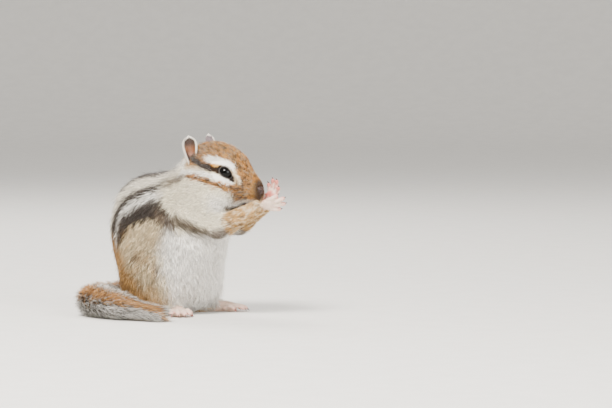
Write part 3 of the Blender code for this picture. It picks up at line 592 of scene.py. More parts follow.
def smoothed(points, edges, share, rounds):
    """Moves each point towards the mean of its neighbours: p + s (mean - p), a number of times."""
    count = np.maximum(np.bincount(edges.ravel(), minlength=len(points)), 1)[:, None]
    for _ in range(rounds):
        total = np.stack(
            [
                np.bincount(edges[:, 0], points[edges[:, 1], k], len(points))
                + np.bincount(edges[:, 1], points[edges[:, 0], k], len(points))
                for k in range(points.shape[1])
            ],
            axis=1,
        )
        points = points + share[:, None] * (total / count - points)
    return points


def eye_opening(around):
    """The half angle of the eye's almond opening at an angle round it, 0 being its front corner.

    An ellipse 1 / sqrt((cos a / p)^2 + (sin a / q)^2), with a sharp corner added in front.
    """
    forward = np.cos(around)
    long_half = np.where(forward > 0, OPENING_FRONT, OPENING_BACK)
    oval = 1 / np.sqrt((forward / long_half) ** 2 + (np.sin(around) / OPENING_HEIGHT) ** 2)
    return oval + OPENING_CORNER * np.maximum(forward, 0.0) ** 10


def eye_axes():
    """The left eye's look, and the long and short axes of its opening, in the head's frame."""
    look = unit(EYE_LOOK)
    forward = np.array((math.cos(OPENING_SLANT), 0.0, math.sin(OPENING_SLANT)))
    long_axis = unit(forward - (forward @ look) * look)
    return look, long_axis, np.cross(look, long_axis)


def eye_measure(side_head):
    """How far a place is from the eye's middle, as a share of the way to the outer edge of its rim."""
    look, long_axis, short_axis = eye_axes()
    away = side_head - EYE_SEAT
    distance = np.linalg.norm(away, axis=1)
    tilt = np.arccos(np.clip(away @ look / np.maximum(distance, 1e-6), -1, 1))
    around = np.arctan2(away @ short_axis, away @ long_axis)
    return np.maximum(tilt / (eye_opening(around) + RIM_WIDTH), distance / EYE_REACH)


def hand_frame(side):
    """The knuckles' middle, and the ways out of the fingers, across the hand and out of its back."""
    elbow, wrist = np.array(ELBOW[side]), np.array(WRIST[side])
    arm_way = unit(wrist - elbow)
    way, palm = unit(HAND_WAY[side]), unit(PALM_WAY[side])
    back = -unit(palm - (palm @ way) * way)
    start = wrist + arm_way * 1.4
    path = smooth_path([wrist - arm_way, wrist + arm_way * 0.8, start + way * 2.2, start + way * 6.4], 8)
    return path[-2], way, np.cross(back, way), back


def foot_frame(side):
    """The same for a foot: its ball's middle, and the ways ahead, outwards and up."""
    splay = TOE_SPLAY * side
    forward = np.array([math.cos(splay), math.sin(splay), 0.0])
    outward = np.array([-math.sin(splay), math.cos(splay), 0.0]) * side
    up = np.array([0.0, 0.0, 1.0])
    return np.array(TOE_TIP[side]) - forward * FOOT_LENGTH * 0.34 + up * 1.9, forward, outward, up


def digits(side):
    """Root, way, the paw's upper side, length, arch and claw's length for each finger and toe of a side."""
    rows = []
    for (middle, way, across, top), table, (spread, fan, arch, claw_length) in (
        (hand_frame(side), FINGERS, FINGER_STANCE),
        (foot_frame(side), TOES, TOE_STANCE),
    ):
        for place, length, down in table:
            root = middle + across * place * spread - way * down
            rows.append((root, unit(way + across * place * fan), top, length, arch, claw_length))
    return rows


def bare_places():
    """Middles of the fingertips, toe tips and palm pads, which are bare and red."""
    places = []
    for side in (-1, 1):
        for root, way, _, length, _, _ in digits(side):
            places.append(root + way * length * 0.92)
        middle, way, across, back = hand_frame(side)
        for spread, down in HAND_PADS:
            places.append(middle + across * spread * PAD_SPREAD - way * down - back * PAD_DEPTH)
    return np.array(places)


# A rod of the body: start, end, radii there, the way its hair lies, and what grows on it:
# the coat's depth, the hair's length and width, and its share of tufts.
HEAD_RODS = {
    "muzzle": ((0, 0, 0), (-13, 0, 3), 6.0, 9.0, (-1, 0, 0.25), 0.5, 1.9, 0.22, 1.5),
    "crown": ((-12, 0, 8), (-36, 0, 13), 9.0, 14.0, (-1, 0, 0.25), 0.85, 3.2, 0.26, 1.2),
    "chin": ((-6, 0, -7), (-28, 0, -9), 4.5, 8.0, (-1, 0, -0.35), 0.9, 3.4, 0.26, 1.1),
    "cheek_r": ((-14, -5, -3), (-38, -12, -4), 7.0, 13.0, (-0.9, -0.1, -0.40), 1.2, 4.2, 0.28, 1.1),
    "cheek_l": ((-14, 5, -3), (-38, 12, -4), 7.0, 13.0, (-0.9, 0.1, -0.40), 1.2, 4.2, 0.28, 1.1),
}
BODY_RODS = {
    "nape": ((14, 3, 72), (-2, 0, 58), 17.0, 19.0, (-0.8, 0, -0.6), 1.8, 6.5, 0.38, 1.0),
    "back": ((-8, 0, 56), (-8, 0, 18), 16.0, 22.0, (-0.1, 0, -1), 2.2, 8.0, 0.42, 1.0),
    "chest": ((20, 0, 54), (10, 0, 10), 15.0, 22.0, (0.1, 0, -1), 2.6, 9.0, 0.38, 1.0),
    "flank_r": ((4, -9, 52), (0, -12, 26), 14.0, 15.0, (-0.25, 0, -1), 2.3, 8.5, 0.40, 1.0),
    "flank_l": ((4, 9, 52), (0, 12, 26), 14.0, 15.0, (-0.25, 0, -1), 2.3, 8.5, 0.40, 1.0),
    "thigh_r": ((-2, -17, 20), (12, -19, 8), 13.0, 10.0, (0.15, 0, -1), 2.0, 7.0, 0.38, 1.0),
    "thigh_l": ((-2, 17, 20), (12, 19, 8), 13.0, 10.0, (0.15, 0, -1), 2.0, 7.0, 0.38, 1.0),
    "arm_r": ((22, -14, 55), ELBOW[-1], 8.0, 6.2, None, 1.4, 5.5, 0.32, 1.1),
    "arm_l": ((22, 14, 55), ELBOW[1], 8.0, 6.2, None, 1.4, 5.5, 0.32, 1.1),
    "forearm_r": (ELBOW[-1], WRIST[-1], 6.2, 4.1, None, 0.7, 3.0, 0.24, 1.4),
    "forearm_l": (ELBOW[1], WRIST[1], 6.2, 4.1, None, 0.7, 3.0, 0.24, 1.4),
    "hand_r": (WRIST[-1], (70.6, 5.8, 63.2), 4.0, 4.0, None, 0.1, 1.1, 0.13, 0.5),
    "hand_l": (WRIST[1], (59.4, 15.8, 72.6), 4.0, 4.0, None, 0.1, 1.1, 0.13, 0.5),
    "foot_r": ((12, -16, 3), TOE_TIP[-1], 7.0, 6.5, None, 0.12, 1.5, 0.17, 0.7),
    "foot_l": ((12, 16, 3), TOE_TIP[1], 7.0, 6.5, None, 0.12, 1.5, 0.17, 0.7),
}
PIECES = {
    "coat_face": ("muzzle", "crown", "chin"),
    "coat_cheeks": ("cheek_r", "cheek_l"),
    "coat_nape": ("nape",),
    "coat_back": ("back",),
    "coat_chest": ("chest",),
    "coat_right": ("flank_r", "thigh_r"),
    "coat_left": ("flank_l", "thigh_l"),
    "coat_arms": ("arm_r", "arm_l", "forearm_r", "forearm_l"),
    "coat_paws": ("hand_r", "hand_l", "foot_r", "foot_l"),
}
TUFTS = {
    "coat_face": 18500,
    "coat_cheeks": 17500,
    "coat_nape": 10000,
    "coat_back": 11000,
    "coat_chest": 15000,
    "coat_right": 15000,
    "coat_left": 9000,
    "coat_arms": 11500,
    "coat_paws": 4500,
}
TAIL_TUFTS = 11500  # on each of its two lengths
PAWS = PIECES["coat_paws"]


def rods():
    """The rods as arrays: starts, ends, radii, ways and what grows on them."""
    rows = []
    for name, (start, end, r0, r1, way, *grown) in {**HEAD_RODS, **BODY_RODS}.items():
        start, end = np.array(start, float), np.array(end, float)
        if name in HEAD_RODS:
            start, end, way = from_head(start), from_head(end), head_way(way)
        way = end - start if way is None else np.array(way, float)
        rows.append((start, end, (r0, r1), unit(way), grown))
    return [np.array(column, float) for column in zip(*rows)]


BARE_PLACES = bare_places()
ROD_NAMES = [*HEAD_RODS, *BODY_RODS]
RODS = rods()


def traits(points):
    """What the nearest rods give each point: the lie of its hair and its depth, length, width and share.

    A rod's weight is (distance from its axis / its radius there) ^ -7.
    """
    starts, ends, radii, ways, grown = RODS
    weights = np.empty((len(points), len(starts)))
    for i in range(len(starts)):
        along = ends[i] - starts[i]
        t = np.clip((points - starts[i]) @ along / (along @ along), 0, 1)
        gap = np.linalg.norm(points - starts[i] - t[:, None] * along, axis=1)
        radius = radii[i, 0] + (radii[i, 1] - radii[i, 0]) * t
        weights[:, i] = np.maximum(gap / radius, 0.15) ** -7
    nearest = np.argmax(weights, axis=1)
    weights /= weights.sum(axis=1, keepdims=True)
    return weights @ ways, weights @ grown, nearest


# Markings, with painted shade laid among them: behind the cheek, in the thigh's fold and under the arm. The
# colours are sRGB, and made linear where they are used. The head's lines are in its frame, the body's in the
# animal's own. Both are given on one side and hold for the other, mirrored.
COLOURS = {
    "white": "#FFFBF3",
    "cream": "#EFE2C8",
    "cheek": "#F2E8D0",
    "grey_white": "#E6DECF",
    "flank": "#E3D0AA",
    "ochre": "#B07E38",
    "rufous": "#B8741C",
    "orange": "#A96E27",
    "tan": "#C09350",
    "grey": "#8C7A62",
    # grizzle is grizzled fur, and it also serves as painted shade behind the cheek, in the thigh's fold and
    # under the arm.
    "grizzle_and_shade": "#665544",
    "dark": "#281B12",
    "black": "#221B18",
    "muzzle": "#A77C3F",
    "forearm": "#CFA668",
    "tail": "#AF7B42",
    "hand": "#E3C9B8",
    "nose": "#2F2522",
    "pad": "#C9685C",
}
# The face's lines, in the order in which they are laid: colour, half width, softness, strength and places.
FACE_LINES = (
    # The shadow behind the cheek.
    ("grizzle_and_shade", 2.0, 1.4, 0.8, ((-47.0, 14.9, 3.3), (-43.5, 15.6, 5.2), (-39.5, 16.4, 6.6))),
    # The orange edge over the dark stripe.
    (
        "orange", 1.7, 1.0, 0.9,
        ((-35.5, 10.2, 20.8), (-32.7, 12.7, 18.0), (-29.9, 14.1, 14.6), (-25.2, 14.0, 12.7)),
    ),
    # In front of the ear.
    ("dark", 1.6, 0.8, 0.9, ((-36.5, 11.7, 19.0), (-35.5, 13.4, 15.5))),
    # The brow, and its cream end in front of the eye.
    (
        "white", 1.7, 0.7, 1.0,
        ((-25.8, 12.9, 15.6), (-20.6, 11.9, 15.0), (-16.1, 10.6, 13.0), (-13.0, 9.1, 10.9)),
    ),
    ("cream", 0.95, 0.7, 0.9, ((-12.2, 8.7, 9.6), (-11.3, 8.5, 7.5), (-9.5, 8.1, 5.3), (-8.1, 8.1, 3.2))),
    # The white stripe under the eye, and the rufous one below it.
    (
        "white", 1.25, 0.7, 1.0,
        ((-41.3, 14.8, 9.4), (-33.7, 17.0, 8.9), (-28.2, 16.8, 8.2), (-22.5, 15.5, 6.5), (-19.0, 13.8, 4.8),
         (-16.3, 11.6, 3.9), (-14.4, 9.8, 3.0)),
    ),
    (
        "rufous", 1.4, 0.8, 1.0,
        ((-34.7, 17.5, 7.0), (-29.8, 18.2, 5.9), (-24.4, 17.6, 4.4), (-19.9, 16.4, 2.6), (-17.0, 13.6, 1.6),
         (-14.6, 9.8, 0.6), (-10.8, 8.3, -0.4)),
    ),
    # The dark stripe from the eye to the ear, and the eye's front corner.
    (
        "dark", 1.55, 0.7, 1.0,
        ((-33.6, 13.9, 15.3), (-31.5, 14.5, 14.0), (-27.5, 14.8, 11.8), (-20.6, 13.9, 9.4)),
    ),
    ("black", 0.8, 0.4, 1.0, ((-15.6, 11.3, 6.2), (-13.4, 9.0, 4.1))),
)
# The back's stripes from the middle outwards: colour and places.
BACK_LINES = {
    "middle": (
        "dark",
        ((-30.7, 0, 22), (-35.6, 0, 38), (-36.8, 0, 46), (-36.2, 0, 54), (-33.2, 0, 62), (-27.5, 0, 69.5),
         (-20, 0, 74.8), (-10, 0, 77.2), (0, 0, 78.5), (8, 0, 83.8)),
    ),
    "inner": (
        "grey_white",
        ((-29.5, 8.0, 22), (-33.0, 10.2, 38), (-31.8, 11.6, 50), (-25.5, 13.6, 60), (-14.6, 14.6, 69.0),
         (-8.2, 13.2, 72.0), (2.4, 11.4, 74.0), (8.0, 9.5, 78.0)),
    ),
    "upper": (
        "dark",
        ((-26.0, 15.5, 22), (-28.6, 16.6, 38), (-25.6, 17.8, 48), (-19.0, 18.6, 58.5), (-14.9, 18.2, 64.0),
         (-9.6, 17.5, 67.4), (-3.3, 16.0, 69.9), (4.3, 14.2, 71.6), (8.1, 12.7, 73.9)),
    ),
    "white": (
        "white",
        ((-24.6, 18.2, 36), (-21.9, 20.1, 48.6), (-19.3, 20.1, 55.4), (-14.6, 19.7, 60.6), (-7.5, 19.0, 64.8),
         (0.1, 17.2, 67.5), (6.0, 15.0, 70.1)),
    ),
    "lower": (
        "dark",
        ((-23.4, 19.2, 39.9), (-18.5, 21.4, 47.3), (-13.1, 21.7, 53.6), (-6.8, 21.5, 57.3), (0.2, 20.7, 60.1),
         (5.7, 19.5, 61.6), (9.5, 19.2, 60.5)),
    ),
    "side": (
        "flank",
        ((-22.0, 20.0, 33.5), (-15.6, 22.3, 42.0), (-8.4, 22.5, 49.3), (-0.9, 22.0, 53.6), (6.5, 20.9, 55.2)),
    ),
}
# Painted shade, broken by grizzled flecks: the fold between the thigh and the belly, and the band under the
# upper arm.
FOLD_SHADE = np.array([(-5.3, 25.2, 36.8), (2.4, 26.0, 35.3), (9.0, 25.6, 33.0), (13.5, 24.8, 29.0)])
ARM_SHADE_BAND = np.array(
    [
        (9.1, -19.0, 60.0),
        (13.1, -19.0, 56.4),
        (20.3, -20.5, 52.0),
        (28.1, -17.5, 47.9),
        (36.5, -15.4, 45.3),
        (46.2, -15.0, 45.6),
        (50.0, -11.8, 48.7),
    ]
)


def palette():
    """The named colours, linear, with the user's own orange, white and dark."""
    settings = bpy.context.scene.chipmunk_coat
    colours = {name: linear(value) for name, value in COLOURS.items()}
    for name in ("orange", "white", "dark"):
        colours[name] = np.array(getattr(settings, name))
    return colours


# The white front's edge, ahead of the animal's middle: heights and places.
FRONT_HEIGHTS = (0, 14, 27, 37, 46, 58, 66)
FRONT_PLACES = (16.0, 15.0, 13.0, 10.0, 9.0, 13.0, 20.0)


def coat_colours(points):
    """The coat's colour at each point: grounds first, then each marking and each painted shade laid over them
    by a soft mask.

    A marking of colour c and mask m gives b (1 - m) + c m. A stripe of the back has the weight
    (its distance + 0.5)^-7 among them all, and the dark ones reach further.
    """
    colour = palette()
    count = len(points)
    side_head = face_places(points)
    x, y, z = side_head.T
    _, _, nearest = traits(points)
    names = np.array(ROD_NAMES)[nearest]
    on_head = np.isin(names, [*HEAD_RODS])

    def lay(target, name, mask):
        """b (1 - m) + c m, with the mask held to 0..1."""
        mask = np.clip(mask, 0, 1)[:, None]
        return target * (1 - mask) + colour[name] * mask

    # The trunk: pale flank, ochre low on the rump, striped back, white belly and chest.
    body_x, body_y, body_z = points.T
    sided = np.stack([body_x, np.abs(body_y), body_z], axis=1)
    sided = sided + (np.stack([noise(points, 2.2, seed) for seed in (11, 12, 13)], axis=1) - 0.5) * 2.4
    wobble = (noise(points, 5.0, 3) - 0.5) * 5.0
    back = np.zeros((count, 3))
    total = np.zeros(count)
    for name, line in BACK_LINES.values():
        gap, _ = line_distance(sided, np.array(line, float))
        weight = (gap * (0.80 if name == "dark" else 1.0) + 0.5) ** -7.0
        back += weight[:, None] * colour[name]
        total += weight
    base = back / total[:, None]
    rear = ramp(29, 16, body_z + body_x + wobble) * ramp(50, 36, body_z)
    base = lay(base, "flank", ramp(44, 33, body_z + wobble * 0.5 + ramp(16, 8, np.abs(body_y)) * 14))
    base = lay(base, "ochre", 0.85 * rear)
    rump = ramp(-10, -22, body_x) * ramp(52, 40, body_z) * ramp(20, 14, np.abs(body_y))
    base = lay(base, "ochre", 0.5 * rump)
    base = lay(base, "ochre", 0.45 * ramp(0.45, 0.75, noise(points, 3.2, 15)) * ramp(56, 44, body_z))
    base = lay(base, "grizzle_and_shade", 0.45 * ramp(0.55, 0.8, noise(points, 2.0, 5)) * ramp(56, 44, body_z))
    # Painted shade along the fold between thigh and belly, patchy where a noise lets it through.
    fold_shade_gap, _ = line_distance(sided, FOLD_SHADE)
    base = lay(base, "grizzle_and_shade", ramp(3.8, 1.2, fold_shade_gap) * ramp(0.2, 0.5, noise(points, 1.5, 43)))
    front = body_x - np.interp(body_z, FRONT_HEIGHTS, FRONT_PLACES)
    front = front + wobble * 0.5 + np.maximum(0, 15 - np.abs(body_y)) * 0.9
    base = lay(base, "white", ramp(-3.5, 5.5, front) * ~on_head)

    # The head: grizzled crown, pale cheeks and chin, tan muzzle, and the stripes of the face.
    crown = lay(np.tile(colour["cheek"], (count, 1)), "tan", ramp(7, 12, z + 0.10 * (x + 20)))
    crown = lay(crown, "white", ramp(0, -8, z) * ramp(-26, -16, x))
    crown = lay(crown, "grey", 0.6 * ramp(-36, -44, x) * ramp(6, 12, z))
    crown = lay(crown, "white", 0.95 * ramp(-37.5, -41, x) * ramp(4, 7, z) * ramp(24, 18, z) * ramp(7, 10, y))
    crown = lay(crown, "muzzle", ramp(-15, -10, x) * ramp(12, 7, z) * ramp(-8, -4, z))
    crown = lay(crown, "orange", 0.8 * ramp(-16, -8, x) * ramp(6.0, 3.5, y) * ramp(2, 5, z))
    crown = lay(crown, "nose", 0.9 * ramp(6.4, 3.6, np.linalg.norm(side_head - NOSE_CENTRE, axis=1)))
    # The mouth's line: the lips' dark skin, widened into painted shade in the mouth's crease.
    lip_gap, _ = line_distance(side_head, LIP_POINTS)
    crown = lay(crown, "nose", 0.95 * ramp(2.0, 0.9, lip_gap))
    edge = ramp(-55, -48, x) * ramp(-18, -12, z) * on_head
    base = base * (1 - edge[:, None]) + crown * edge[:, None]
    behind = (names == "nape") * ramp(-56, -48, x) * ramp(-10, -2, z)
    base = lay(base, "cheek", 0.7 * behind * ramp(9, 14, y))
    near_head = ramp(-54, -48, x)
    speck = (noise(points, 0.7, 21) - 0.5) * 0.8
    for name, wide, soft, strength, line in FACE_LINES:
        gap, _ = line_distance(side_head, np.array(line))
        mask = ramp(wide + soft, wide - soft * 0.3, gap + speck)
        base = lay(base, name, mask * strength * near_head)
    base = lay(base, "black", ramp(1.08, 0.96, eye_measure(side_head)) * near_head)

    # Arms: cream above, a band below of grizzled fur darkened as painted shade, tan forearms, pale hands and
    # feet.
    upper = np.isin(names, ["arm_r", "arm_l"])
    lower = np.isin(names, ["forearm_r", "forearm_l"])
    right_side = np.stack([body_x, -np.abs(body_y), body_z], axis=1)
    arm_shade_gap, _ = line_distance(right_side, ARM_SHADE_BAND)
    base = np.where(upper[:, None], lay(base, "cheek", ramp(46, 50, body_z)), base)
    base = np.where(lower[:, None], colour["forearm"] * np.ones((count, 1)), base)
    wrists = 0.5 * ramp(56, 62, body_z) * ramp(52, 58, body_x)
    base = np.where(lower[:, None], lay(base, "cream", wrists), base)
    # The band under the upper arm: grizzled fur with painted shade where the arm shades the body, flecked
    # darker by a noise.
    band = ramp(5.2, 1.8, arm_shade_gap + speck * 3) * ~on_head * ramp(58, 50, body_x) * ramp(64, 60, body_z)
    base = lay(base, "grizzle_and_shade", 0.9 * band)
    base = lay(base, "dark", 0.6 * band * ramp(0.45, 0.7, noise(points, 1.1, 41)))
    redness = 0.9 * ramp(2.8, 1.2, nearest_gap(points, BARE_PLACES))
    pink = lay(np.tile(colour["hand"], (count, 1)), "pad", redness)
    base = np.where(np.isin(names, PAWS)[:, None], pink, base)
    return base, names, on_head


# Tufts.


class SkinField:
    """The skin's mean place and normal in small cells, so that many points find their height over it at once.

    An empty cell takes the sum of its six neighbours, as many times over as REACH says.
    """

    CELL = 1.2
    REACH = 5
    MARGIN = 8

    def __init__(self, points, normals):
        self.low = points.min(axis=0) - self.MARGIN
        shape = np.ceil((points.max(axis=0) + self.MARGIN - self.low) / self.CELL).astype(int)
        self.shape = shape
        index = self.index(points)
        size = int(np.prod(shape))
        count = np.bincount(index, minlength=size).astype(float)
        data = np.concatenate([points, normals], axis=1)
        total = np.stack([np.bincount(index, data[:, k], size) for k in range(6)], axis=1)
        count, total = count.reshape(shape), total.reshape(*shape, 6)
        for _ in range(self.REACH):
            wide_count, wide_total = count.copy(), total.copy()
            for axis in range(3):
                for step in (-1, 1):
                    wide_count += np.roll(count, step, axis)
                    wide_total += np.roll(total, step, axis)
            empty = count == 0
            count = np.where(empty, wide_count, count)
            total = np.where(empty[..., None], wide_total, total)
        self.count = count.ravel()
        self.mean = total.reshape(-1, 6) / np.maximum(self.count, 1e-9)[:, None]

    def index(self, points):
        """The number of each point's cell."""
        cell = np.clip(((points - self.low) / self.CELL).astype(int), 0, self.shape - 1)
        return (cell[:, 0] * self.shape[1] + cell[:, 1]) * self.shape[2] + cell[:, 2]

    def heights(self, points, normals):
        """Each point's height over the skin near it, (p - mean) . n, and n, the normal there.

        Where there is no skin near it, the height is 0 and the normal is the given one.
        """
        mean = self.mean[self.index(points)]
        normal = unit(mean[:, 3:])
        steady = (normal * normals).sum(axis=1) > 0.2
        steady &= self.count[self.index(points)] > 0
        normal = np.where(steady[:, None], normal, normals)
        height = ((points - mean[:, :3]) * normal).sum(axis=1)
        return np.where(steady, height, 0.0), normal


MAX_CLIMB = 2.5  # how far a tuft's middle or tip is moved to follow the skin
ROOT_DEPTH = 0.35


def tuft_paths(field, roots, normals, ways, lengths, lifts):
    """Root, middle and tip of each tuft, and the skin's normals at the first two.

    It goes half its length along its way to stand 0.66 of its lift over the skin, then as far again, turned
    along the skin there, to stand its whole lift over it.
    """
    half = (lengths / 2)[:, None]
    middle = roots + ways * half
    height, normal_1 = field.heights(middle, normals)
    middle = middle + normal_1 * np.clip(lifts * 0.66 - height, -MAX_CLIMB, MAX_CLIMB)[:, None]
    onward = unit(ways - (ways * normal_1).sum(axis=1, keepdims=True) * normal_1)
    tip = middle + onward * half
    height, normal_2 = field.heights(tip, normal_1)
    tip = tip + normal_2 * np.clip(lifts - height, -MAX_CLIMB, MAX_CLIMB)[:, None]
    paths = np.stack([roots - normals * ROOT_DEPTH, middle, tip], axis=1)
    return paths, np.stack([normals, normal_1], axis=1)


# A tuft's seven corners: left, right and top at its root and at its middle, and its tip.
TUFT_FACES = np.array(
    [
        *((0, 1, 2), (0, 2, 5), (0, 5, 3), (2, 1, 4), (2, 4, 5)),
        *((0, 3, 4), (0, 4, 1), (3, 5, 6), (5, 4, 6), (4, 3, 6)),
    ]
)
TUFT_MAP = np.array([(0.0, 0.0), (1.0, 0.0), (0.5, 0.12), (0.05, 0.5), (0.95, 0.5), (0.5, 0.6), (0.5, 1.0)])


def tuft_mesh(name, paths, ups, widths, colours, unwrap):
    """Closed, three-sided tufts that taper to a point, with their colours and their baking map.

    With h = 0.42 w at its root and 0.5 w at its middle, its corners there are p + left h, p - left h and
    p + up 0.9 h.
    """
    count = len(paths)
    onward = unit(paths[:, 1:] - paths[:, :-1])
    left = unit(np.cross(ups, onward))
    half = widths[:, None, None] * np.array([0.42, 0.5])[None, :, None]
    centre = paths[:, :2]
    raised = centre + ups * half * 0.9
    corners = np.stack([centre + left * half, centre - left * half, raised], axis=2)
    points = np.concatenate([corners.reshape(count, 6, 3), paths[:, 2:]], axis=1).reshape(-1, 3)
    faces = (np.arange(count)[:, None, None] * 7 + TUFT_FACES[None]).reshape(-1, 3)
    thing = new_object(name, points, faces, merge=False)
    root, middle, tip = colours
    painted = np.stack([root, root, root, middle, middle, middle, tip], axis=1)
    paint(thing.data, painted.reshape(-1, 3))
    patches = (unwrap[:, None] + (TUFT_MAP[None] - 0.5) * PATCH).reshape(-1, 2)
    layer = thing.data.uv_layers.new(name="OFBake")
    layer.data.foreach_set("uv", patches[faces.ravel()].astype(np.float32).ravel())
    return thing


def cylinder_unwrap(points, start, end):
    """The angle round an axis and the place along it, both as shares that stay inside the map."""
    start, end = np.asarray(start, float), np.asarray(end, float)
    way = unit(end - start)
    side = unit(np.cross(way, (0.3, 1.0, 0.2)))
    top = np.cross(way, side)
    local = points - start
    angle = np.arctan2(local @ side, local @ top) / (2 * math.pi) + 0.5
    along = local @ way
    along = (along - along.min()) / max(np.ptp(along), 1e-6)
    return 0.01 + 0.98 * np.stack([angle, along], axis=1)


# What the skin's operator leaves for the coat's.
SHARED = {}
SKIN_ROUNDS = 14
SKIN_SHADE = 0.86  # the underfur is darker than the hair over it, save on the paws


def loop_corners(mesh):
    """The point number of each face corner, face after face."""
    corners = np.empty(len(mesh.loops), np.int32)
    mesh.loops.foreach_get("vertex_index", corners)
    return corners


def coat_depth(face, grown, eye_gap):
    """How deep the skin lies under the fur: less round the eyes, nose and lips, more in the mouth's crease
    and where it would touch an eyeball."""
    lip_gap, _ = line_distance(face, LIP_POINTS)
    depth = grown[:, 0] * ramp(4.5, 8.0, eye_gap) * ramp(1.5, 5.0, np.linalg.norm(face - NOSE_CENTRE, axis=1))
    depth = depth * (0.25 + 0.75 * ramp(0.5, 2.5, lip_gap)) + 0.5 * ramp(1.1, 0.3, lip_gap)
    return depth + 1.3 * ramp(EYE_RADIUS + 1.6, EYE_RADIUS, np.linalg.norm(face - EYE_SEAT, axis=1))


def build_skin():
    """The skin: the swollen flesh, smoothed, then moved inwards by p - n d, and smoothed once more."""
    mesh = flesh_mesh()
    points, _ = read_points(mesh)
    edges = np.empty(len(mesh.edges) * 2, np.int32)
    mesh.edges.foreach_get("vertices", edges)
    edges = edges.reshape(-1, 2)
    even = np.full(len(points), 0.5)
    _, grown, _ = traits(points)
    face = face_places(points)
    eye_gap = np.linalg.norm(face - (EYE_SEAT + EYE_LOOK * 2.0), axis=1)
    soft = np.where(grown[:, 0] > 0.5, 0.5, 0.2)
    soft = np.where(eye_gap < 6.0, 0.2, soft)
    points = smoothed(points, edges, soft, SKIN_ROUNDS)
    write_points(mesh, points)
    _, normals = read_points(mesh)
    normals = unit(smoothed(normals, edges, even, 6))
    depth = coat_depth(face, grown, eye_gap) + swelling(points) - SWELL
    depth = smoothed(depth[:, None], edges, even, 4)
    points = smoothed(points - normals * depth, edges, soft * 0.6, 4)
    points[:, 2] = np.maximum(points[:, 2], 0.0)
    write_points(mesh, points)
    mesh.shade_smooth()
    mesh.name = "skin"
    mesh.materials.clear()
    skin = bpy.data.objects.new("skin", mesh)
    bpy.context.scene.collection.objects.link(skin)
    dress(skin, "underfur on hide", "coat", *FLESH)
    mesh.materials.append(bpy.data.materials["bare skin of the paws"])
    points, normals = read_points(mesh)
    colours, names, _ = coat_colours(points)
    paws = np.isin(names, PAWS)
    paint(mesh, colours * np.where(paws, 1.0, SKIN_SHADE)[:, None])
    first = np.empty(len(mesh.polygons), np.int32)
    mesh.polygons.foreach_get("loop_start", first)
    mesh.polygons.foreach_set("material_index", paws[loop_corners(mesh)[first]].astype(np.int32))
    SHARED["skin"] = skin
    SHARED["field"] = SkinField(points, normals)


def skin_samples():
    """The corners, normal and area of each face of the skin, half its diagonals' cross product."""
    if "skin" not in SHARED:
        raise RuntimeError("The skin is made before the coat")
    mesh = SHARED["skin"].data
    quads = loop_corners(mesh).reshape(-1, 4)
    points, normals = read_points(mesh)
    corner = points[quads]
    area = np.linalg.norm(np.cross(corner[:, 2] - corner[:, 0], corner[:, 3] - corner[:, 1]), axis=1) / 2
    return corner, unit(normals[quads].mean(axis=1)), area


def varied(rng, values, spread):
    """v (1 + s r), with r even between -1 and 1."""
    return values * (1 + spread * (rng.random(len(values)) * 2 - 1))


def tuft_tones(rng, base, names, on_head, points):
    """Root, middle and tip colours: a shade of its own for each tuft, with dark or pale tips among them.

    The crown is a mix of orange, tan, dark and grey hair, and the pale flank and cheeks have dark flecks.
    """
    count = len(base)
    patchy = noise(points, 1.0, 31) - 0.5
    pick = np.clip(0.5 + 1.9 * patchy + 0.45 * (rng.random(count) - 0.5), 0, 1)
    colour = palette()
    mixed = np.array([colour[name] for name in ("dark", "orange", "tan", "orange", "grey")])
    to_tan = np.linalg.norm(base - colour["tan"], axis=1) < 0.16
    to_tan |= np.linalg.norm(base - colour["muzzle"], axis=1) < 0.06
    grizzled = mixed[np.searchsorted([0.28, 0.50, 0.62, 0.82], pick)]
    share = np.where(to_tan & on_head, 0.9, 0.0)
    arms = np.isin(names, ["forearm_r", "forearm_l"])
    sandy = np.array([colour[name] for name in ("cream", "forearm", "tan", "ochre", "grizzle_and_shade")])
    grizzled = np.where(arms[:, None], sandy[np.searchsorted([0.22, 0.58, 0.75, 0.88], pick)], grizzled)
    share = np.where(arms, 0.8, share)[:, None]
    base = base * (1 - share) + grizzled * share
    pale = base.mean(axis=1) > 0.35
    fleck_chance = np.where(pale, 0.12, 0.16)
    fleck_chance = np.where(points[:, 0] > 16, 0.03, fleck_chance)
    fleck_chance = np.where(on_head, 0.17, fleck_chance)
    clump = 0.3 + 2.6 * ramp(0.55, 0.75, noise(points, 0.9, 37))
    fleck = (rng.random(count) < fleck_chance * clump)[:, None]
    shade = (0.84 + 0.32 * rng.random(count))[:, None]
    tip = np.where(fleck, base * 0.22, np.minimum(base * shade * 1.15, 0.95))
    depth = np.where(pale, 0.88, 0.70)[:, None]
    return base * depth * shade, base * shade, tip


def round_the_eye(points, ways):
    """Turns the lie of the hair near the eye away from its middle, so that none lies over it."""
    face = face_places(points)
    look, _, _ = eye_axes()
    away = face - (EYE_SEAT + look * EYE_RADIUS)
    gap = np.linalg.norm(away, axis=1)
    away[:, 1] *= np.where(to_head(points)[:, 1] < 0, -1.0, 1.0)
    away = head_way(unit(away))
    share = 1.6 * ramp(8.5, 5.0, gap)
    return ways + away * share[:, None], gap


STRAYS = 0.07  # the share of tufts that stand off the coat
NAPE_LIFT = 1.5


def may_grow(places):
    """Where hair may root: away from the eyes, the nose, the lips and the bare digits and pads."""
    face = face_places(places)
    nose_gap = np.linalg.norm(face - NOSE_CENTRE, axis=1)
    lip_gap, _ = line_distance(face, LIP_POINTS)
    bare_gap = nearest_gap(places, BARE_PLACES)
    for side in (-1, 1):
        for root, way, _, length, _, _ in digits(side):
            gap, _ = line_distance(places, np.array([root + way * 0.25 * length, root + way * length]))
            bare_gap = np.minimum(bare_gap, gap)
    return (eye_measure(face) > 1.35) & (nose_gap > 3.0) & (lip_gap > 0.6) & (bare_gap > 1.7)


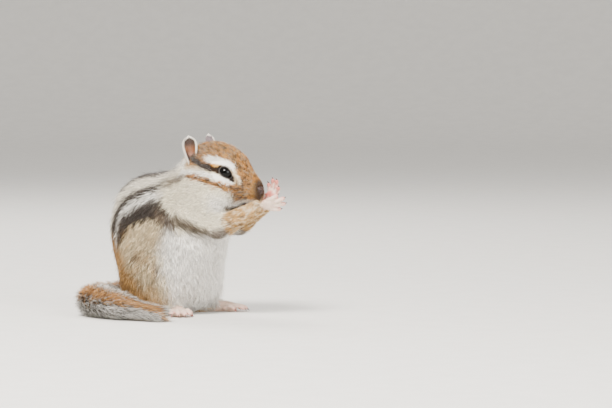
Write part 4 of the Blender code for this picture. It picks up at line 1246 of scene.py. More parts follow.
def scattered(rng, quad):
    """A random place on each four-sided face: (a (1 - u) + b u) (1 - v) + (d (1 - u) + c u) v."""
    u, v = rng.random((2, len(quad), 1))
    a, b, c, d = (quad[:, k] for k in range(4))
    return (a * (1 - u) + b * u) * (1 - v) + (d * (1 - u) + c * u) * v


def grow_coats():
    """Tufts scattered over the skin, each lying along its rods' way, with their length, width and depth."""
    corner, normal, area = skin_samples()
    middle = corner.mean(axis=1)
    _, grown, nearest = traits(middle)
    names = np.array(ROD_NAMES)[nearest]
    allowed = may_grow(middle)
    density = bpy.context.scene.chipmunk_coat.density
    along_head = (from_head((0, 0, 4)), from_head((-40, 0, 4)))
    upright = ((0, 0, 0), (0, 0, 80))
    for seed, (name, members) in enumerate(PIECES.items()):
        rng = np.random.default_rng(100 + seed)
        chance = area * grown[:, 3] * np.isin(names, members) * allowed
        picked = rng.choice(len(area), round(TUFTS[name] * density), p=chance / chance.sum())
        roots = scattered(rng, corner[picked])
        normals = normal[picked]
        ways, values, _ = traits(roots)
        ways = ways + 0.20 * rng.standard_normal(ways.shape)
        ways, eye_gap = round_the_eye(roots, ways)
        ways = unit(ways - (ways * normals).sum(axis=1, keepdims=True) * normals)
        near_eye = ramp(5.0, 9.0, eye_gap)
        lengths = varied(rng, values[:, 1], 0.4) * (0.4 + 0.6 * near_eye)
        widths = varied(rng, values[:, 2], 0.35) * (0.75 + 0.25 * near_eye)
        stray = rng.random(len(roots)) < STRAYS
        lifts = values[:, 0] * (0.30 + 1.0 * rng.random(len(roots)) ** 1.3) * (0.25 + 0.75 * near_eye) + 0.06
        lifts = lifts * np.where(stray, 2.0, 1.0) * (NAPE_LIFT if name == "coat_nape" else 1.0)
        widths = widths * np.where(stray, 0.6, 1.0)
        paths, ups = tuft_paths(SHARED["field"], roots, normals, ways, lengths, lifts)
        paths[:, :, 2] = np.maximum(paths[:, :, 2], SOLE_GAP)
        base, root_names, on_head = coat_colours(roots)
        colours = tuft_tones(rng, base, root_names, on_head, roots)
        axis = along_head if name in ("coat_face", "coat_cheeks") else upright
        thing = tuft_mesh(name, paths, ups, widths, colours, cylinder_unwrap(roots, *axis))
        dress(thing, "guard hair", "coat")


# The tail.


# Half the brush's width and height: slim at the root, full past the middle, drawn to a point.
TAIL_SHARES = (0, 0.12, 0.3, 0.6, 0.85, 0.96, 1.0)
TAIL_WIDTHS = (6.5, 7.0, 9.0, 11.0, 9.4, 5.0, 1.5)
TAIL_HEIGHTS = (6.5, 7.0, 8.5, 9.0, 7.5, 3.8, 1.0)
TAIL_RINGS = 90
FULL_UNTIL = 0.93  # past here the hairs close round the tip, as wide as the brush is here


def tail_widths(share):
    """The table's half widths, with straight lines between them."""
    return np.interp(share, TAIL_SHARES, TAIL_WIDTHS)


def tail_heights(share):
    """The table's half heights, with straight lines between them."""
    return np.interp(share, TAIL_SHARES, TAIL_HEIGHTS)


def tail_core(share):
    """The core's size as a share of the brush's: thick at the root, thin under the long hair."""
    return np.interp(share, [0.0, 0.05, 0.16, 1.0], [0.80, 0.70, 0.42, 0.30])


def tail_tones(rng, start, angle):
    """Root, middle and tip colours along the tail: an orange middle, a black band and a white fringe.

    The orange faces up at the root and turns up and out towards the near side further on.
    """
    orange, black, white = (palette()[name] for name in ("tail", "black", "white"))
    shade = (0.8 + 0.4 * rng.random(len(start)))[:, None]
    turn = np.interp(start, [0.0, 0.10, 0.30, 1.0], np.radians([90.0, 95.0, 128.0, 128.0]))
    across = np.abs(np.sin(angle - turn)) + 0.40 * (rng.random(len(start)) - 0.5)
    growing = ramp(0.04, 0.18, start)
    banded = (ramp(0.34, 0.56, across) * growing)[:, None]
    fringe = (ramp(0.50, 0.78, across) * growing * (rng.random(len(start)) < 0.8))[:, None]
    kind = rng.random(len(start))[:, None]
    plain_tip = np.where(kind < 0.60, linear("#DDB885") * shade, orange * 1.1 * shade)
    plain_tip = np.where(kind < 0.25, black, plain_tip)
    tip = plain_tip * (1 - banded) + black * banded
    tip = tip * (1 - fringe) + white * shade * fringe
    return orange * 0.85 * shade, orange * shade * (1 - banded) + black * banded, tip


def build_tail():
    """A core along the knots, c + side w cos a + top h sin a, and tufts that leave it and trail behind."""
    line = smooth_path(TAIL_KNOTS, TAIL_RINGS)
    shares = np.linspace(0, 1, TAIL_RINGS)
    core = tail_core(shares)
    points, faces = tube(line, tail_widths(shares) * core, tail_heights(shares) * core, (0, 0, 1), 36)
    thing = new_object("tail_skin", points, faces)
    paint(thing.data, np.tile(linear(COLOURS["tail"]) * 0.6, (len(thing.data.vertices), 1)))
    dress(thing, "underfur on hide", "coat")
    tangent, side, top = frames_along(line, (0, 0, 1))

    def at(values, where):
        """The line's values at shares of it, held to its ends."""
        inside = np.clip(where, 0, 1)
        return np.stack([np.interp(inside, shares, values[:, k]) for k in range(3)], axis=1)

    for number, (low, high) in enumerate(((0.0, 0.52), (0.52, 0.97))):
        rng = np.random.default_rng(300 + number)
        start = low + (high - low) * rng.random(TAIL_TUFTS)
        angle = rng.random(TAIL_TUFTS) * 2 * math.pi
        length = np.interp(start, [0, 0.1, 0.25, 1.0], [6.0, 9.0, 15.0, 17.0])
        length = length * (0.6 + 0.6 * rng.random(TAIL_TUFTS))
        fluff = 0.60 + 0.64 * rng.random(TAIL_TUFTS) ** 1.4
        stray = 0.11 * rng.standard_normal(TAIL_TUFTS)
        inner = tail_core(start) * 0.9
        path = []
        for t in (0.0, 0.5, 1.0):
            where = start + length / TAIL_LENGTH * t * 0.90
            reach = inner + (fluff - inner) * t**0.85
            over = (np.maximum(where - 1.0, 0.0) * TAIL_LENGTH)[:, None]
            turned = angle + stray * t * 3
            full = np.minimum(where, FULL_UNTIL)
            wide = (reach * tail_widths(full) * np.cos(turned))[:, None]
            tall = (reach * tail_heights(full) * np.sin(turned))[:, None]
            place = at(line, where) + at(tangent, where) * over
            path.append(place + at(side, where) * wide + at(top, where) * tall)
        paths = np.stack(path, axis=1)
        paths[:, :, 2] = np.maximum(paths[:, :, 2], SOLE_GAP)
        outward = unit(at(side, start) * np.cos(angle)[:, None] + at(top, start) * np.sin(angle)[:, None])
        widths = varied(rng, np.full(TAIL_TUFTS, 0.36), 0.35)
        colours = tail_tones(rng, start, angle)
        unwrap = 0.01 + 0.98 * np.stack([angle / (2 * math.pi), (start - low) / (high - low)], axis=1)
        ups = np.stack([outward, outward], axis=1)
        brush = tuft_mesh(f"coat_tail_{number + 1}", paths, ups, widths, colours, unwrap)
        dress(brush, "guard hair", "coat", *(TAIL_NODES if number == 0 else ()))


# The face.


# The lids' profile: how far beyond the opening, in degrees, and how high over the eyeball.
LID_PROFILE = np.array(
    [
        (0.0, -0.1),
        (-0.5, 0.18),
        (2.0, 0.42),
        (5.5, 0.58),
        (10.0, 0.70),
        (17.0, 0.72),
        (25.0, 0.55),
        (35.0, 0.0),
        (38.0, -0.9),
        (14.0, -0.9),
    ]
)
LID_ROUNDS = 96
LID_TUFTS = 2200


def lid_places(side, around, beyond, rise):
    """Places over the eyeball, and the ways out of it and away from the opening there.

    A place is c + (R + h) (cos q look + sin q (cos a long + sin a short)), with q past the opening.
    """
    flip = (1.0, side, 1.0)
    look, long_axis, short_axis = (head_way(v * flip) for v in eye_axes())
    centre = from_head(mirrored(EYE_SEAT, side))
    tilt = (eye_opening(around) + np.radians(beyond))[..., None]
    spoke = np.cos(around)[..., None] * long_axis + np.sin(around)[..., None] * short_axis
    outward = np.cos(tilt) * look + np.sin(tilt) * spoke
    along = -np.sin(tilt) * look + np.cos(tilt) * spoke
    return centre + (EYE_RADIUS + np.asarray(rise))[..., None] * outward, outward, along


def ring_quads(rounds, rings):
    """Quads of a grid that closes on itself both ways."""
    i = np.arange(rounds)[:, None] * rings
    after = (i + rings) % (rounds * rings)
    j = np.arange(rings)[None, :]
    k = (j + 1) % rings
    return np.stack([i + j, i + k, after + k, after + j], axis=-1).reshape(-1, 4)


def build_eyes():
    """Each eye is a ball, and its lids are their profile carried round the almond opening."""
    look, _, _ = eye_axes()
    for side, word in ((-1, "right"), (1, "left")):
        centre = from_head(mirrored(EYE_SEAT, side))
        axes = axes_on(head_way(mirrored(look, side)), (0, 0, 1))
        points, faces = ball(centre, np.full(3, EYE_RADIUS), axes)
        eye = new_object(f"eyeball_{word}", points, faces)
        dress(eye, "wet cornea", "eye", f"eye_{word}")
        rings = len(LID_PROFILE)
        turn = np.arange(LID_ROUNDS) * 2 * math.pi / LID_ROUNDS
        around = np.broadcast_to(turn[:, None], (LID_ROUNDS, rings))
        beyond, rise = (np.broadcast_to(LID_PROFILE[:, k], around.shape) for k in (0, 1))
        points, _, _ = lid_places(side, around, beyond, rise)
        lid = new_object(f"lids_{word}", points.reshape(-1, 3), ring_quads(LID_ROUNDS, rings))
        places, _ = read_points(lid.data)
        colours, _, _ = coat_colours(places)
        paint(lid.data, colours)
        dress(lid, "lid skin", "nose_skin")
        grow_lid_hair(side, word)


def grow_lid_hair(side, word):
    """Short hair on the lids, which lies away from the opening and back over the head."""
    rng = np.random.default_rng(600 + side)
    around = rng.random(LID_TUFTS) * 2 * math.pi
    beyond = 4.5 + 28.0 * rng.random(LID_TUFTS)
    rise = np.interp(beyond, LID_PROFILE[1:8, 0], LID_PROFILE[1:8, 1])
    roots, outward, along = lid_places(side, around, beyond, rise)
    ways = along + 0.5 * head_way((-1, 0, 0.2)) + 0.15 * rng.standard_normal(roots.shape)
    ways = unit(ways - (ways * outward).sum(axis=1, keepdims=True) * outward)
    lengths = (0.9 + 0.7 * rng.random(LID_TUFTS))[:, None]
    lift = outward * (0.06 + 0.22 * rng.random(LID_TUFTS))[:, None]
    middle = roots + ways * lengths * 0.5 + lift
    tip = roots + ways * lengths + lift * 0.6
    paths = np.stack([roots - outward * 0.15, middle, tip], axis=1)
    base, _, _ = coat_colours(roots)
    shade = 0.88 + 0.24 * rng.random((LID_TUFTS, 1))
    colours = (base * 0.8 * shade, base * shade, np.minimum(base * shade * 1.1, 0.95))
    unwrap = 0.01 + 0.98 * np.stack([around / (2 * math.pi), beyond / 35.0], axis=1)
    ups = np.stack([outward, outward], axis=1)
    coat = tuft_mesh(f"coat_lids_{word}", paths, ups, np.full(LID_TUFTS, 0.15), colours, unwrap)
    dress(coat, "guard hair", "coat")


def build_nose():
    """The nose is a flattened ball, pushed back in soft pits for its nostrils and along its cleft.

    The lips are a tube through the mouth's points, 0.5 sin(pi s)^0.4 thick, mirrored to the right.
    """
    points, faces = ball(np.zeros(3), NOSE_RADII * (1.0, 0.92, 0.95), np.eye(3), 40, 56)
    for side in (-1, 1):
        hole = np.array((1.1, side * 1.45, -0.5))
        gap = np.linalg.norm((points - hole) / (1.6, 0.80, 0.62), axis=1)
        points = points - np.array((1.0, 0, 0)) * ramp(1.0, 0.2, gap)[:, None]
    cleft = ramp(1.0, 0.2, np.abs(points[:, 1]) / 0.35) * ramp(0.6, -0.4, points[:, 2])
    points = points - np.array((0.35, 0, 0)) * cleft[:, None]
    nose = new_object("nose_leather", from_head(points + NOSE_CENTRE), faces)
    dress(nose, "nose leather", "nose_skin", "nose")
    right = LIP_POINTS[::-1] * (1, -1, 1)
    line = from_head(smooth_path(np.vstack([right, LIP_POINTS[1:]]), 80))
    thick = 0.5 * np.sin(np.linspace(0.0, math.pi, 80)) ** 0.4
    points, faces = tube(line, thick, thick * 0.8, (0, 0, 1), 10)
    lips = new_object("lips", points, faces)
    dress(lips, "lip skin", "nose_skin")


def ear_up(side):
    """The way up an ear: up, a little back and outwards."""
    return head_way(unit((-0.10, side * 0.20, 1.0)))


def ear_sheet(side, across=41, along=49, thickness=0.6):
    """A cupped leaf: its places, its normals, half its thickness along them, and their s and t.

    A place is root + up (s H - 0.9 s t^2) + wide t w(s) - out c(s, t), with s up the ear and t across it.
    """
    outward = head_way(unit((0.42, side * 0.90, 0.05)))
    up = ear_up(side)
    wide = unit(np.cross(up, outward))
    up = unit(np.cross(outward, wide))
    root = from_head(mirrored(EAR_SEAT, side))
    tall = EAR_HEIGHT * EAR_STRETCH[side]
    s = 1.0 - 1.16 * np.linspace(1.0, 0.0, along)[:, None] ** 1.5
    t = np.linspace(-1, 1, across)[None, :]
    share = np.clip(s, 0, 1)
    width = EAR_WIDTH / 2 * (0.46 + 0.54 * np.sin(share * math.pi * 0.62)) * np.sqrt(1 - share**8 * 0.96)
    cup = 3.4 * (1 - t**2) * (1.0 - 0.55 * share) * (width / (EAR_WIDTH / 2))
    lean = 1.6 * share**2
    place = (
        root
        + up * (s * tall - 0.9 * t**2 * share)[..., None]
        + wide * (t * width)[..., None]
        - outward * (cup + lean)[..., None]
    )
    normal = unit(np.cross(np.gradient(place, axis=0), np.gradient(place, axis=1)))
    if (normal[along // 2, across // 2] @ outward) < 0:
        normal = -normal
    rim = np.sqrt(np.clip(1 - np.abs(t) ** 4, 0.12, 1)) * np.where(share > 0.93, 0.6, 1.0)
    shift = normal * (thickness / 2 * rim)[..., None]
    return place, normal, shift, np.broadcast_to(s, place.shape[:2]), np.broadcast_to(t, place.shape[:2])


def sheet_faces(rows, columns):
    """Quads of a closed sheet: a front, a back that follows it, and a band round the rim."""
    front = grid_quads(rows, columns, wrap=False)
    back = front[:, ::-1] + rows * columns
    top = np.arange(columns)
    right = np.arange(1, rows) * columns + columns - 1
    bottom = (rows - 1) * columns + np.arange(columns - 2, -1, -1)
    left = np.arange(rows - 2, 0, -1) * columns
    rim = np.concatenate([top, right, bottom, left])
    after = np.roll(rim, -1)
    band = np.stack([after, rim, rim + rows * columns, after + rows * columns], axis=1)
    return np.concatenate([front, back, band])


EAR_TONES = {
    "tip": "#3E2A20",
    "inner": "#82502E",
    "low": "#9C6E58",
    "base": "#241B18",
    "back": "#8F8076",
    "far_back": "#8B7C80",
    "rim": "#F1EADF",
}
EAR_TUFTS = 5200


def ear_tones(side, s, t, inside):
    """The ear's colour at a place: dark tip, brown middle, pink low part and black base, with a white rim."""
    tones = {name: linear(value) for name, value in EAR_TONES.items()}
    s, t = np.asarray(s)[..., None], np.asarray(t)[..., None]
    front = tones["inner"] + (tones["tip"] - tones["inner"]) * ramp(0.45, 0.75, s)
    front = front + (tones["low"] - front) * ramp(0.45, 0.25, s)
    front = front + (tones["base"] - front) * ramp(0.30, 0.12, s)
    front = front + (tones["base"] - front) * 0.9 * ramp(0.2, 0.65, -t) * ramp(0.6, 0.3, s)
    back = tones["back"] if side < 0 else tones["far_back"]
    tone = np.where(np.asarray(inside)[..., None], front, back)
    edge = np.maximum(np.abs(t), ramp(0.74, 0.98, s))
    return tone + (tones["rim"] - tone) * ramp(0.78, 0.93, edge)


def build_ears():
    """Each ear is a leaf with a front and a back at place + shift and place - shift, with down on both."""
    rng = np.random.default_rng(500)
    for side, word in ((-1, "right"), (1, "left")):
        place, normal, shift, s, t = ear_sheet(side)
        points = np.concatenate([(place + shift).reshape(-1, 3), (place - shift).reshape(-1, 3)])
        ear = new_object(f"ear_shell_{word}", points, sheet_faces(*s.shape), merge=False)
        work = bmesh.new()
        work.from_mesh(ear.data)
        bmesh.ops.recalc_face_normals(work, faces=work.faces)
        work.to_mesh(ear.data)
        work.free()
        tones = [ear_tones(side, s, t, np.full(s.shape, inside)).reshape(-1, 3) for inside in (True, False)]
        paint(ear.data, np.concatenate(tones))
        dress(ear, "ear skin", "ear_skin", f"ear_{word}")
        grow_ear_down(rng, side, word, place, normal, shift, s, t)


def grow_ear_down(rng, side, word, place, normal, shift, s, t):
    """Short hair on both faces of an ear, which lies up it and out to its rim."""
    rows, columns = s.shape
    row = rng.integers(0, rows, EAR_TUFTS)
    column = rng.integers(0, columns, EAR_TUFTS)
    on_rim = rng.random(EAR_TUFTS) < 0.40
    column = np.where(on_rim, np.where(rng.random(EAR_TUFTS) < 0.5, 0, columns - 1), column)
    row = np.where(rng.random(EAR_TUFTS) < 0.15, rows - 1, row)
    inside = rng.random(EAR_TUFTS) < 0.35
    face = np.where(inside, 1.0, -1.0)[:, None]
    high, across = s[row, column], t[row, column]
    normals = normal[row, column] * face
    roots = place[row, column] + shift[row, column] * face + 0.05 * rng.standard_normal((EAR_TUFTS, 3))
    sideways = unit(np.gradient(place, axis=1)[row, column])
    ways = ear_up(side) + 0.5 * sideways * across[:, None] + 0.2 * rng.standard_normal((EAR_TUFTS, 3))
    ways = unit(ways - (ways * normals).sum(axis=1, keepdims=True) * normals)
    at_rim = (np.abs(across) > 0.9) | (high > 0.93)
    lengths = np.where(at_rim, 0.40, 1.0) * (0.8 + 0.7 * rng.random(EAR_TUFTS))
    lift = normals * (0.05 + 0.18 * rng.random(EAR_TUFTS))[:, None]
    half = ways * lengths[:, None] * 0.5
    paths = np.stack([roots - normals * 0.15, roots + half + lift, roots + half * 2 + lift * 1.5], axis=1)
    tone = ear_tones(side, high, across, inside) * (0.82 + 0.36 * rng.random((EAR_TUFTS, 1)))
    colours = (tone * 0.8, tone, np.minimum(tone * 1.1, 0.95))
    patch_column = (across + 1) / 4 + np.where(inside, 0.0, 0.5)
    unwrap = 0.01 + 0.98 * np.stack([patch_column, (high + 0.16) / 1.16], axis=1)
    ups = np.stack([normals, normals], axis=1)
    coat = tuft_mesh(f"coat_ear_{word}", paths, ups, np.full(EAR_TUFTS, 0.17), colours, unwrap)
    dress(coat, "guard hair", "coat")


WHISKERS = 16  # on each side, in four rows
WHISKER_THICK = 0.08


def build_whiskers():
    """Bristles that leave the muzzle in rows: root + way l t + bend t^2, thinner by 1 - 0.85 t."""
    rng = np.random.default_rng(700)
    shapes = []
    for side in (-1, 1):
        for i in range(WHISKERS):
            row, rank = divmod(i, 4)
            root = np.array((-5.0 - 1.3 * rank, side * (5.6 + 0.45 * rank), -1.0 - 1.1 * row))
            way = unit((-0.60 - 0.05 * rank, side * 0.80, 0.30 - 0.26 * row) + 0.06 * rng.standard_normal(3))
            length = 10 + 5 * rng.random()
            t = np.linspace(0, 1, 9)[:, None]
            bend = np.array((-0.35, -side * 0.22, -0.14)) * length
            path = from_head(root + way * length * t + bend * t**2)
            thick = WHISKER_THICK * (1 - 0.85 * t[:, 0])
            shapes.append(tube(path, thick, thick, (0, 0, 1), 5))
    thing = new_object("whiskers", *joined(shapes))
    dress(thing, "whisker bristle", "nose_skin")


# Paws.


def digit_path(root, way, palm_up, length, arch, shares):
    """Places along a bent finger or toe: root + way l s + up a (sin pi s - 0.22 s)."""
    rise = arch * np.sin(shares * math.pi) - 0.22 * arch * shares
    return root + way * (shares * length)[:, None] + palm_up * rise[:, None]


def claw(root, way, palm_up, length, arch, size):
    """A hooked cone on the end of a digit, with the radius 0.55 (1 - t^1.6) + 0.05 along a falling arc."""
    tip = digit_path(root, way, palm_up, length, arch, np.array([0.86, 1.0]))
    end = unit(tip[1] - tip[0])
    hook = np.linspace(0, 1, 9)
    path = tip[0] + end * (0.1 + hook * size)[:, None] - palm_up * (0.9 * hook**2 - 0.30)[:, None]
    thick = 0.55 * (1 - hook**1.6) + 0.05
    return tube(path, thick * 0.75, thick, palm_up, 8)


# A digit's swelling along it: root, shaft, knuckle, shaft, rounded tip.
DIGIT_SHARES = np.array([0.0, 0.15, 0.32, 0.5, 0.64, 0.8, 0.9, 0.96, 1.0])
DIGIT_SWELL = np.array([0.95, 1.0, 0.88, 1.08, 0.95, 1.05, 1.0, 0.75, 0.3])


def digit_surface(root, way, palm_up, length, arch, radius):
    """A finger or toe with the radius r w(s) round its path."""
    shares = np.linspace(0, 1, 26)
    path = digit_path(root, way, palm_up, length, arch, shares)
    swell = radius * np.interp(shares, DIGIT_SHARES, DIGIT_SWELL)
    return tube(path, swell, swell * 0.92, palm_up, 16)


FINGER_RADIUS = 1.10
TOE_RADIUS = 1.22
TOE_REDNESS = 0.35  # toes are less red than fingers
CLAW_GAP = 0.02  # digits and claws keep this far over the floor


def build_digits():
    """The bare fingers and toes of each side, reddened by a share of 0.55 underneath and 0.35 at the tips."""
    skin, pad = linear(COLOURS["hand"]), linear(COLOURS["pad"])
    for side, word in ((-1, "right"), (1, "left")):
        shapes, undersides = [], []
        for number, (root, way, palm_up, length, arch, _) in enumerate(digits(side)):
            finger = number < len(FINGERS)
            radius = FINGER_RADIUS if finger else TOE_RADIUS
            points, faces = digit_surface(root, way, palm_up, length, arch, radius)
            shapes.append((points, faces))
            local = points - root
            under = ramp(0.3, -0.5, (local - way * (local @ way)[:, None]) @ palm_up - arch * 0.6)
            near_tip = ramp(0.62, 0.92, local @ way / length)
            redness = 1.0 if finger else TOE_REDNESS
            undersides.append(redness * np.clip(0.55 * under + 0.35 * near_tip, 0, 1))
        points, faces = joined(shapes)
        points[:, 2] = np.maximum(points[:, 2], CLAW_GAP)
        thing = new_object(f"digits_{word}", points, faces, merge=False)
        red = np.concatenate(undersides)[:, None]
        paint(thing.data, skin * (1 - red) + pad * red)
        dress(thing, "bare skin of the paws", "paw_skin")


def build_claws():
    """The claws of all four paws as one piece, held over the floor."""
    points, faces = joined([claw(*row) for side in (-1, 1) for row in digits(side)])
    points[:, 2] = np.maximum(points[:, 2], CLAW_GAP)
    thing = new_object("claws", points, faces)
    dress(thing, "claw horn", "paw_skin")


# The stage.

PHOTO_SCALE = 0.56  # millimetres to a pixel of the photo
PHOTO_WIDTH = 612
# The view's middle, in pixels of the photo to the right of the animal's own middle and over its soles.
VIEW_RIGHT = 136
VIEW_UP = 112
VIEW_DROP = 0.002
VIEW_AZIMUTH = math.radians(35.0)
VIEW_ELEVATION = math.radians(3.0)
LENS = 200.0
SENSOR = 36.0
FLOOR_FLAT = 2.6  # the floor's flat radius, the radius of its curve and the height of its rim, in metres
FLOOR_CURVE = 0.8
FLOOR_RIM = 1.3
FLOOR_SIDES = 96
SKY_TINT = (1.0, 0.985, 0.96, 1)
KEY_POWER = 38.0
SKY = 0.8
# Each lamp: metres to the camera's right, towards it and up, its size and its tint.
KEY_LAMP = (-0.35, 0.70, 0.95, 0.40, (1.0, 0.95, 0.88))
FILL_LAMP = (0.75, 0.9, 0.45, 0.7, (1.0, 0.98, 0.95))
BACK_LAMP = (-0.3, -0.9, 0.9, 0.5, (1.0, 0.97, 0.92))
FILL_POWER = 15.0
BACK_POWER = 14.0


def aimed(thing, way):
    """Turns a lamp or camera so that it looks along a way."""
    thing.rotation_mode = "QUATERNION"
    thing.rotation_quaternion = way.to_track_quat("-Z", "Y")
    bpy.context.scene.collection.objects.link(thing)


def build_floor():
    """Matt paper, pale, with a faint mottle of 15 mm: a profile turned about z, (r cos a, r sin a, h).

    The profile is flat, then a quarter of a circle, then a low wall all round.
    """
    blended("matt paper", 0.015, "#E6E4E0", "#E2E0DC", {"Roughness": 0.9})
    arc = np.linspace(0, math.pi / 2, 14)[1:]
    edge = FLOOR_FLAT + FLOOR_CURVE
    out = np.concatenate([[0.0, 1.4, FLOOR_FLAT], FLOOR_FLAT + FLOOR_CURVE * np.sin(arc), [edge]])
    height = np.concatenate([[0.0, 0.0, 0.0], FLOOR_CURVE - FLOOR_CURVE * np.cos(arc), [FLOOR_RIM]])
    turn = np.arange(FLOOR_SIDES) * 2 * math.pi / FLOOR_SIDES
    rings = [out[:, None] * np.cos(turn), out[:, None] * np.sin(turn), height[:, None] * np.ones(FLOOR_SIDES)]
    points = np.stack(rings, axis=-1).reshape(-1, 3) / MM - PLACE
    floor = new_object("floor", points, grid_quads(len(out), FLOOR_SIDES)[:, ::-1], merge=False)
    floor.data.materials.append(bpy.data.materials["matt paper"])


def build_stage():
    """The floor, an even sky, three lamps and the photo's camera.

    The camera stands at target + way d, with d = W f / sensor for a view W wide at the target.
    """
    scene = bpy.context.scene
    settings = scene.chipmunk_stage
    back = Vector((math.sin(settings.azimuth), -math.cos(settings.azimuth), 0))
    right = Vector((math.cos(settings.azimuth), math.sin(settings.azimuth), 0))
    build_floor()
    world = bpy.data.worlds.new("studio")
    scene.world = world
    world.use_nodes = True
    ground = world.node_tree.nodes["Background"]
    ground.inputs["Color"].default_value = SKY_TINT
    ground.inputs["Strength"].default_value = settings.sky
    middle = Vector((0.0, 0.0, 0.05))
    for name, power, (side, ahead, height, size, tint) in (
        ("key", settings.key_power, KEY_LAMP),
        ("fill", FILL_POWER, FILL_LAMP),
        ("back", BACK_POWER, BACK_LAMP),
    ):
        light = bpy.data.lights.new(name, "AREA")
        light.size = size
        light.energy = power
        light.color = tint
        lamp = bpy.data.objects.new(name, light)
        lamp.location = middle + right * side + back * ahead + Vector((0, 0, height))
        aimed(lamp, middle - lamp.location)
    distance = PHOTO_WIDTH * PHOTO_SCALE * MM * LENS / SENSOR
    foot = Vector((PLACE[0] * MM, PLACE[1] * MM, VIEW_UP * PHOTO_SCALE * MM - VIEW_DROP))
    target = right * (VIEW_RIGHT * PHOTO_SCALE * MM) + foot
    way = back * math.cos(settings.elevation) + Vector((0, 0, math.sin(settings.elevation)))
    camera = bpy.data.cameras.new("photo view")
    camera.lens = LENS
    camera.sensor_width = SENSOR
    camera.clip_end = 20.0
    view = bpy.data.objects.new("photo view", camera)
    view.location = target + way * distance
    aimed(view, -way)
    scene.camera = view


# The add-on's settings, operators and panel.


class ChipmunkCoatSettings(bpy.types.PropertyGroup):
    """The coat's density, the skin's creases and the main colours"""

    density: FloatProperty(
        name="Density",
        description="Share of the tufts of face, trunk, arms and paws that are grown",
        default=1.0,
        min=0.05,
        max=1.0,
        subtype="FACTOR",
    )
    fill: FloatProperty(
        name="Crease fill",
        description="How wide a crease between limbs and trunk is closed, in millimetres",
        default=FILL,
        min=0.3,
        max=4.0,
    )
    orange: FloatVectorProperty(
        name="Orange",
        description="Colour of the orange hairs of crown and face",
        size=3,
        subtype="COLOR",
        default=tuple(linear(COLOURS["orange"])),
        min=0.0,
        max=1.0,
    )
    white: FloatVectorProperty(
        name="White",
        description="Colour of the white stripes, chest and belly",
        size=3,
        subtype="COLOR",
        default=tuple(linear(COLOURS["white"])),
        min=0.0,
        max=1.0,
    )
    dark: FloatVectorProperty(
        name="Dark",
        description="Colour of the dark stripes",
        size=3,
        subtype="COLOR",
        default=tuple(linear(COLOURS["dark"])),
        min=0.0,
        max=1.0,
    )


class ChipmunkStageSettings(bpy.types.PropertyGroup):
    """The lights and the camera"""

    key_power: FloatProperty(
        name="Key light",
        description="Power of the key light",
        default=KEY_POWER,
        min=0.0,
        unit="POWER",
    )
    sky: FloatProperty(
        name="Sky",
        description="Strength of the studio's even light",
        default=SKY,
        min=0.0,
    )
    azimuth: FloatProperty(
        name="Azimuth",
        description="The camera's turn round the animal",
        default=VIEW_AZIMUTH,
        unit="ROTATION",
    )
    elevation: FloatProperty(
        name="Elevation",
        description="The camera's height over the floor, as an angle",
        default=VIEW_ELEVATION,
        unit="ROTATION",
    )


class BuildMaterials(bpy.types.Operator):
    """Makes the finishes of hair, skin, nose, claws, whiskers and eyes"""

    bl_idname = "chipmunk.materials"
    bl_label = "Materials"

    def execute(self, context):
        make_materials()
        return {"FINISHED"}


class BuildSkin(bpy.types.Operator):
    """Makes one skin from the solids of flesh"""

    bl_idname = "chipmunk.skin"
    bl_label = "Skin"

    def execute(self, context):
        build_skin()
        return {"FINISHED"}


class GrowCoat(bpy.types.Operator):
    """Grows the tufts of face, trunk, arms and paws"""

    bl_idname = "chipmunk.coat"
    bl_label = "Coat"

    def execute(self, context):
        grow_coats()
        return {"FINISHED"}


class BuildTail(bpy.types.Operator):
    """Makes the tail's core and its brush"""

    bl_idname = "chipmunk.tail"
    bl_label = "Tail"

    def execute(self, context):
        build_tail()
        return {"FINISHED"}


class BuildEyes(bpy.types.Operator):
    """Makes the eyeballs and their lids"""

    bl_idname = "chipmunk.eyes"
    bl_label = "Eyes and lids"

    def execute(self, context):
        build_eyes()
        return {"FINISHED"}


class BuildNose(bpy.types.Operator):
    """Makes the nose and the lips"""

    bl_idname = "chipmunk.nose"
    bl_label = "Nose and lips"

    def execute(self, context):
        build_nose()
        return {"FINISHED"}


class BuildEars(bpy.types.Operator):
    """Makes the ears and their down"""

    bl_idname = "chipmunk.ears"
    bl_label = "Ears"

    def execute(self, context):
        build_ears()
        return {"FINISHED"}


class BuildWhiskers(bpy.types.Operator):
    """Makes the whiskers"""

    bl_idname = "chipmunk.whiskers"
    bl_label = "Whiskers"

    def execute(self, context):
        build_whiskers()
        return {"FINISHED"}


class BuildDigits(bpy.types.Operator):
    """Makes the bare fingers and toes"""

    bl_idname = "chipmunk.digits"
    bl_label = "Fingers and toes"

    def execute(self, context):
        build_digits()
        return {"FINISHED"}


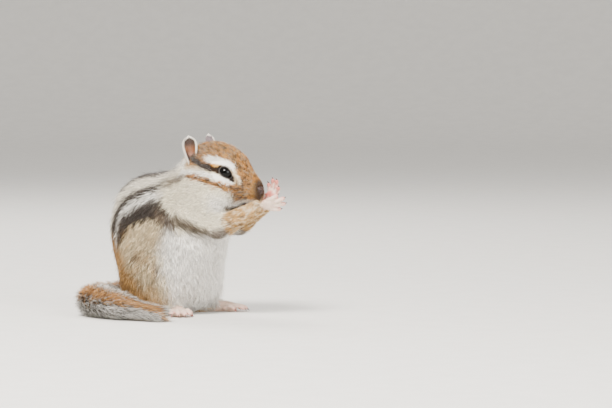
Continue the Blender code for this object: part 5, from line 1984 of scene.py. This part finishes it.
class BuildClaws(bpy.types.Operator):
    """Makes the claws of all four paws"""

    bl_idname = "chipmunk.claws"
    bl_label = "Claws"

    def execute(self, context):
        build_claws()
        return {"FINISHED"}


class BuildStage(bpy.types.Operator):
    """Makes the floor, the lights and the photo's camera"""

    bl_idname = "chipmunk.stage"
    bl_label = "Stage"

    def execute(self, context):
        build_stage()
        return {"FINISHED"}


STEPS = (
    BuildMaterials,
    BuildSkin,
    GrowCoat,
    BuildTail,
    BuildEyes,
    BuildNose,
    BuildEars,
    BuildWhiskers,
    BuildDigits,
    BuildClaws,
    BuildStage,
)


class ChipmunkPanel(bpy.types.Panel):
    """Lists the settings and the steps in the order in which they are run"""

    bl_idname = "VIEW3D_PT_chipmunk"
    bl_label = "Chipmunk looks"
    bl_space_type = "VIEW_3D"
    bl_region_type = "UI"
    bl_category = "Chipmunk"

    def draw(self, context):
        for settings in (context.scene.chipmunk_coat, context.scene.chipmunk_stage):
            box = self.layout.box()
            for name in settings.__annotations__:
                box.prop(settings, name)
        for step in STEPS:
            self.layout.operator(step.bl_idname)


CLASSES = (ChipmunkCoatSettings, ChipmunkStageSettings, *STEPS, ChipmunkPanel)


def register():
    """Makes the settings, the operators and the panel known."""
    for thing in CLASSES:
        bpy.utils.register_class(thing)
    bpy.types.Scene.chipmunk_coat = PointerProperty(type=ChipmunkCoatSettings)
    bpy.types.Scene.chipmunk_stage = PointerProperty(type=ChipmunkStageSettings)


def unregister():
    """Takes them away again, last first."""
    del bpy.types.Scene.chipmunk_stage
    del bpy.types.Scene.chipmunk_coat
    for thing in reversed(CLASSES):
        bpy.utils.unregister_class(thing)


def main():
    """Runs every step in order."""
    register()
    bpy.ops.chipmunk.materials()
    bpy.ops.chipmunk.skin()
    bpy.ops.chipmunk.coat()
    bpy.ops.chipmunk.tail()
    bpy.ops.chipmunk.eyes()
    bpy.ops.chipmunk.nose()
    bpy.ops.chipmunk.ears()
    bpy.ops.chipmunk.whiskers()
    bpy.ops.chipmunk.digits()
    bpy.ops.chipmunk.claws()
    bpy.ops.chipmunk.stage()


if __name__ == "__main__":
    main()
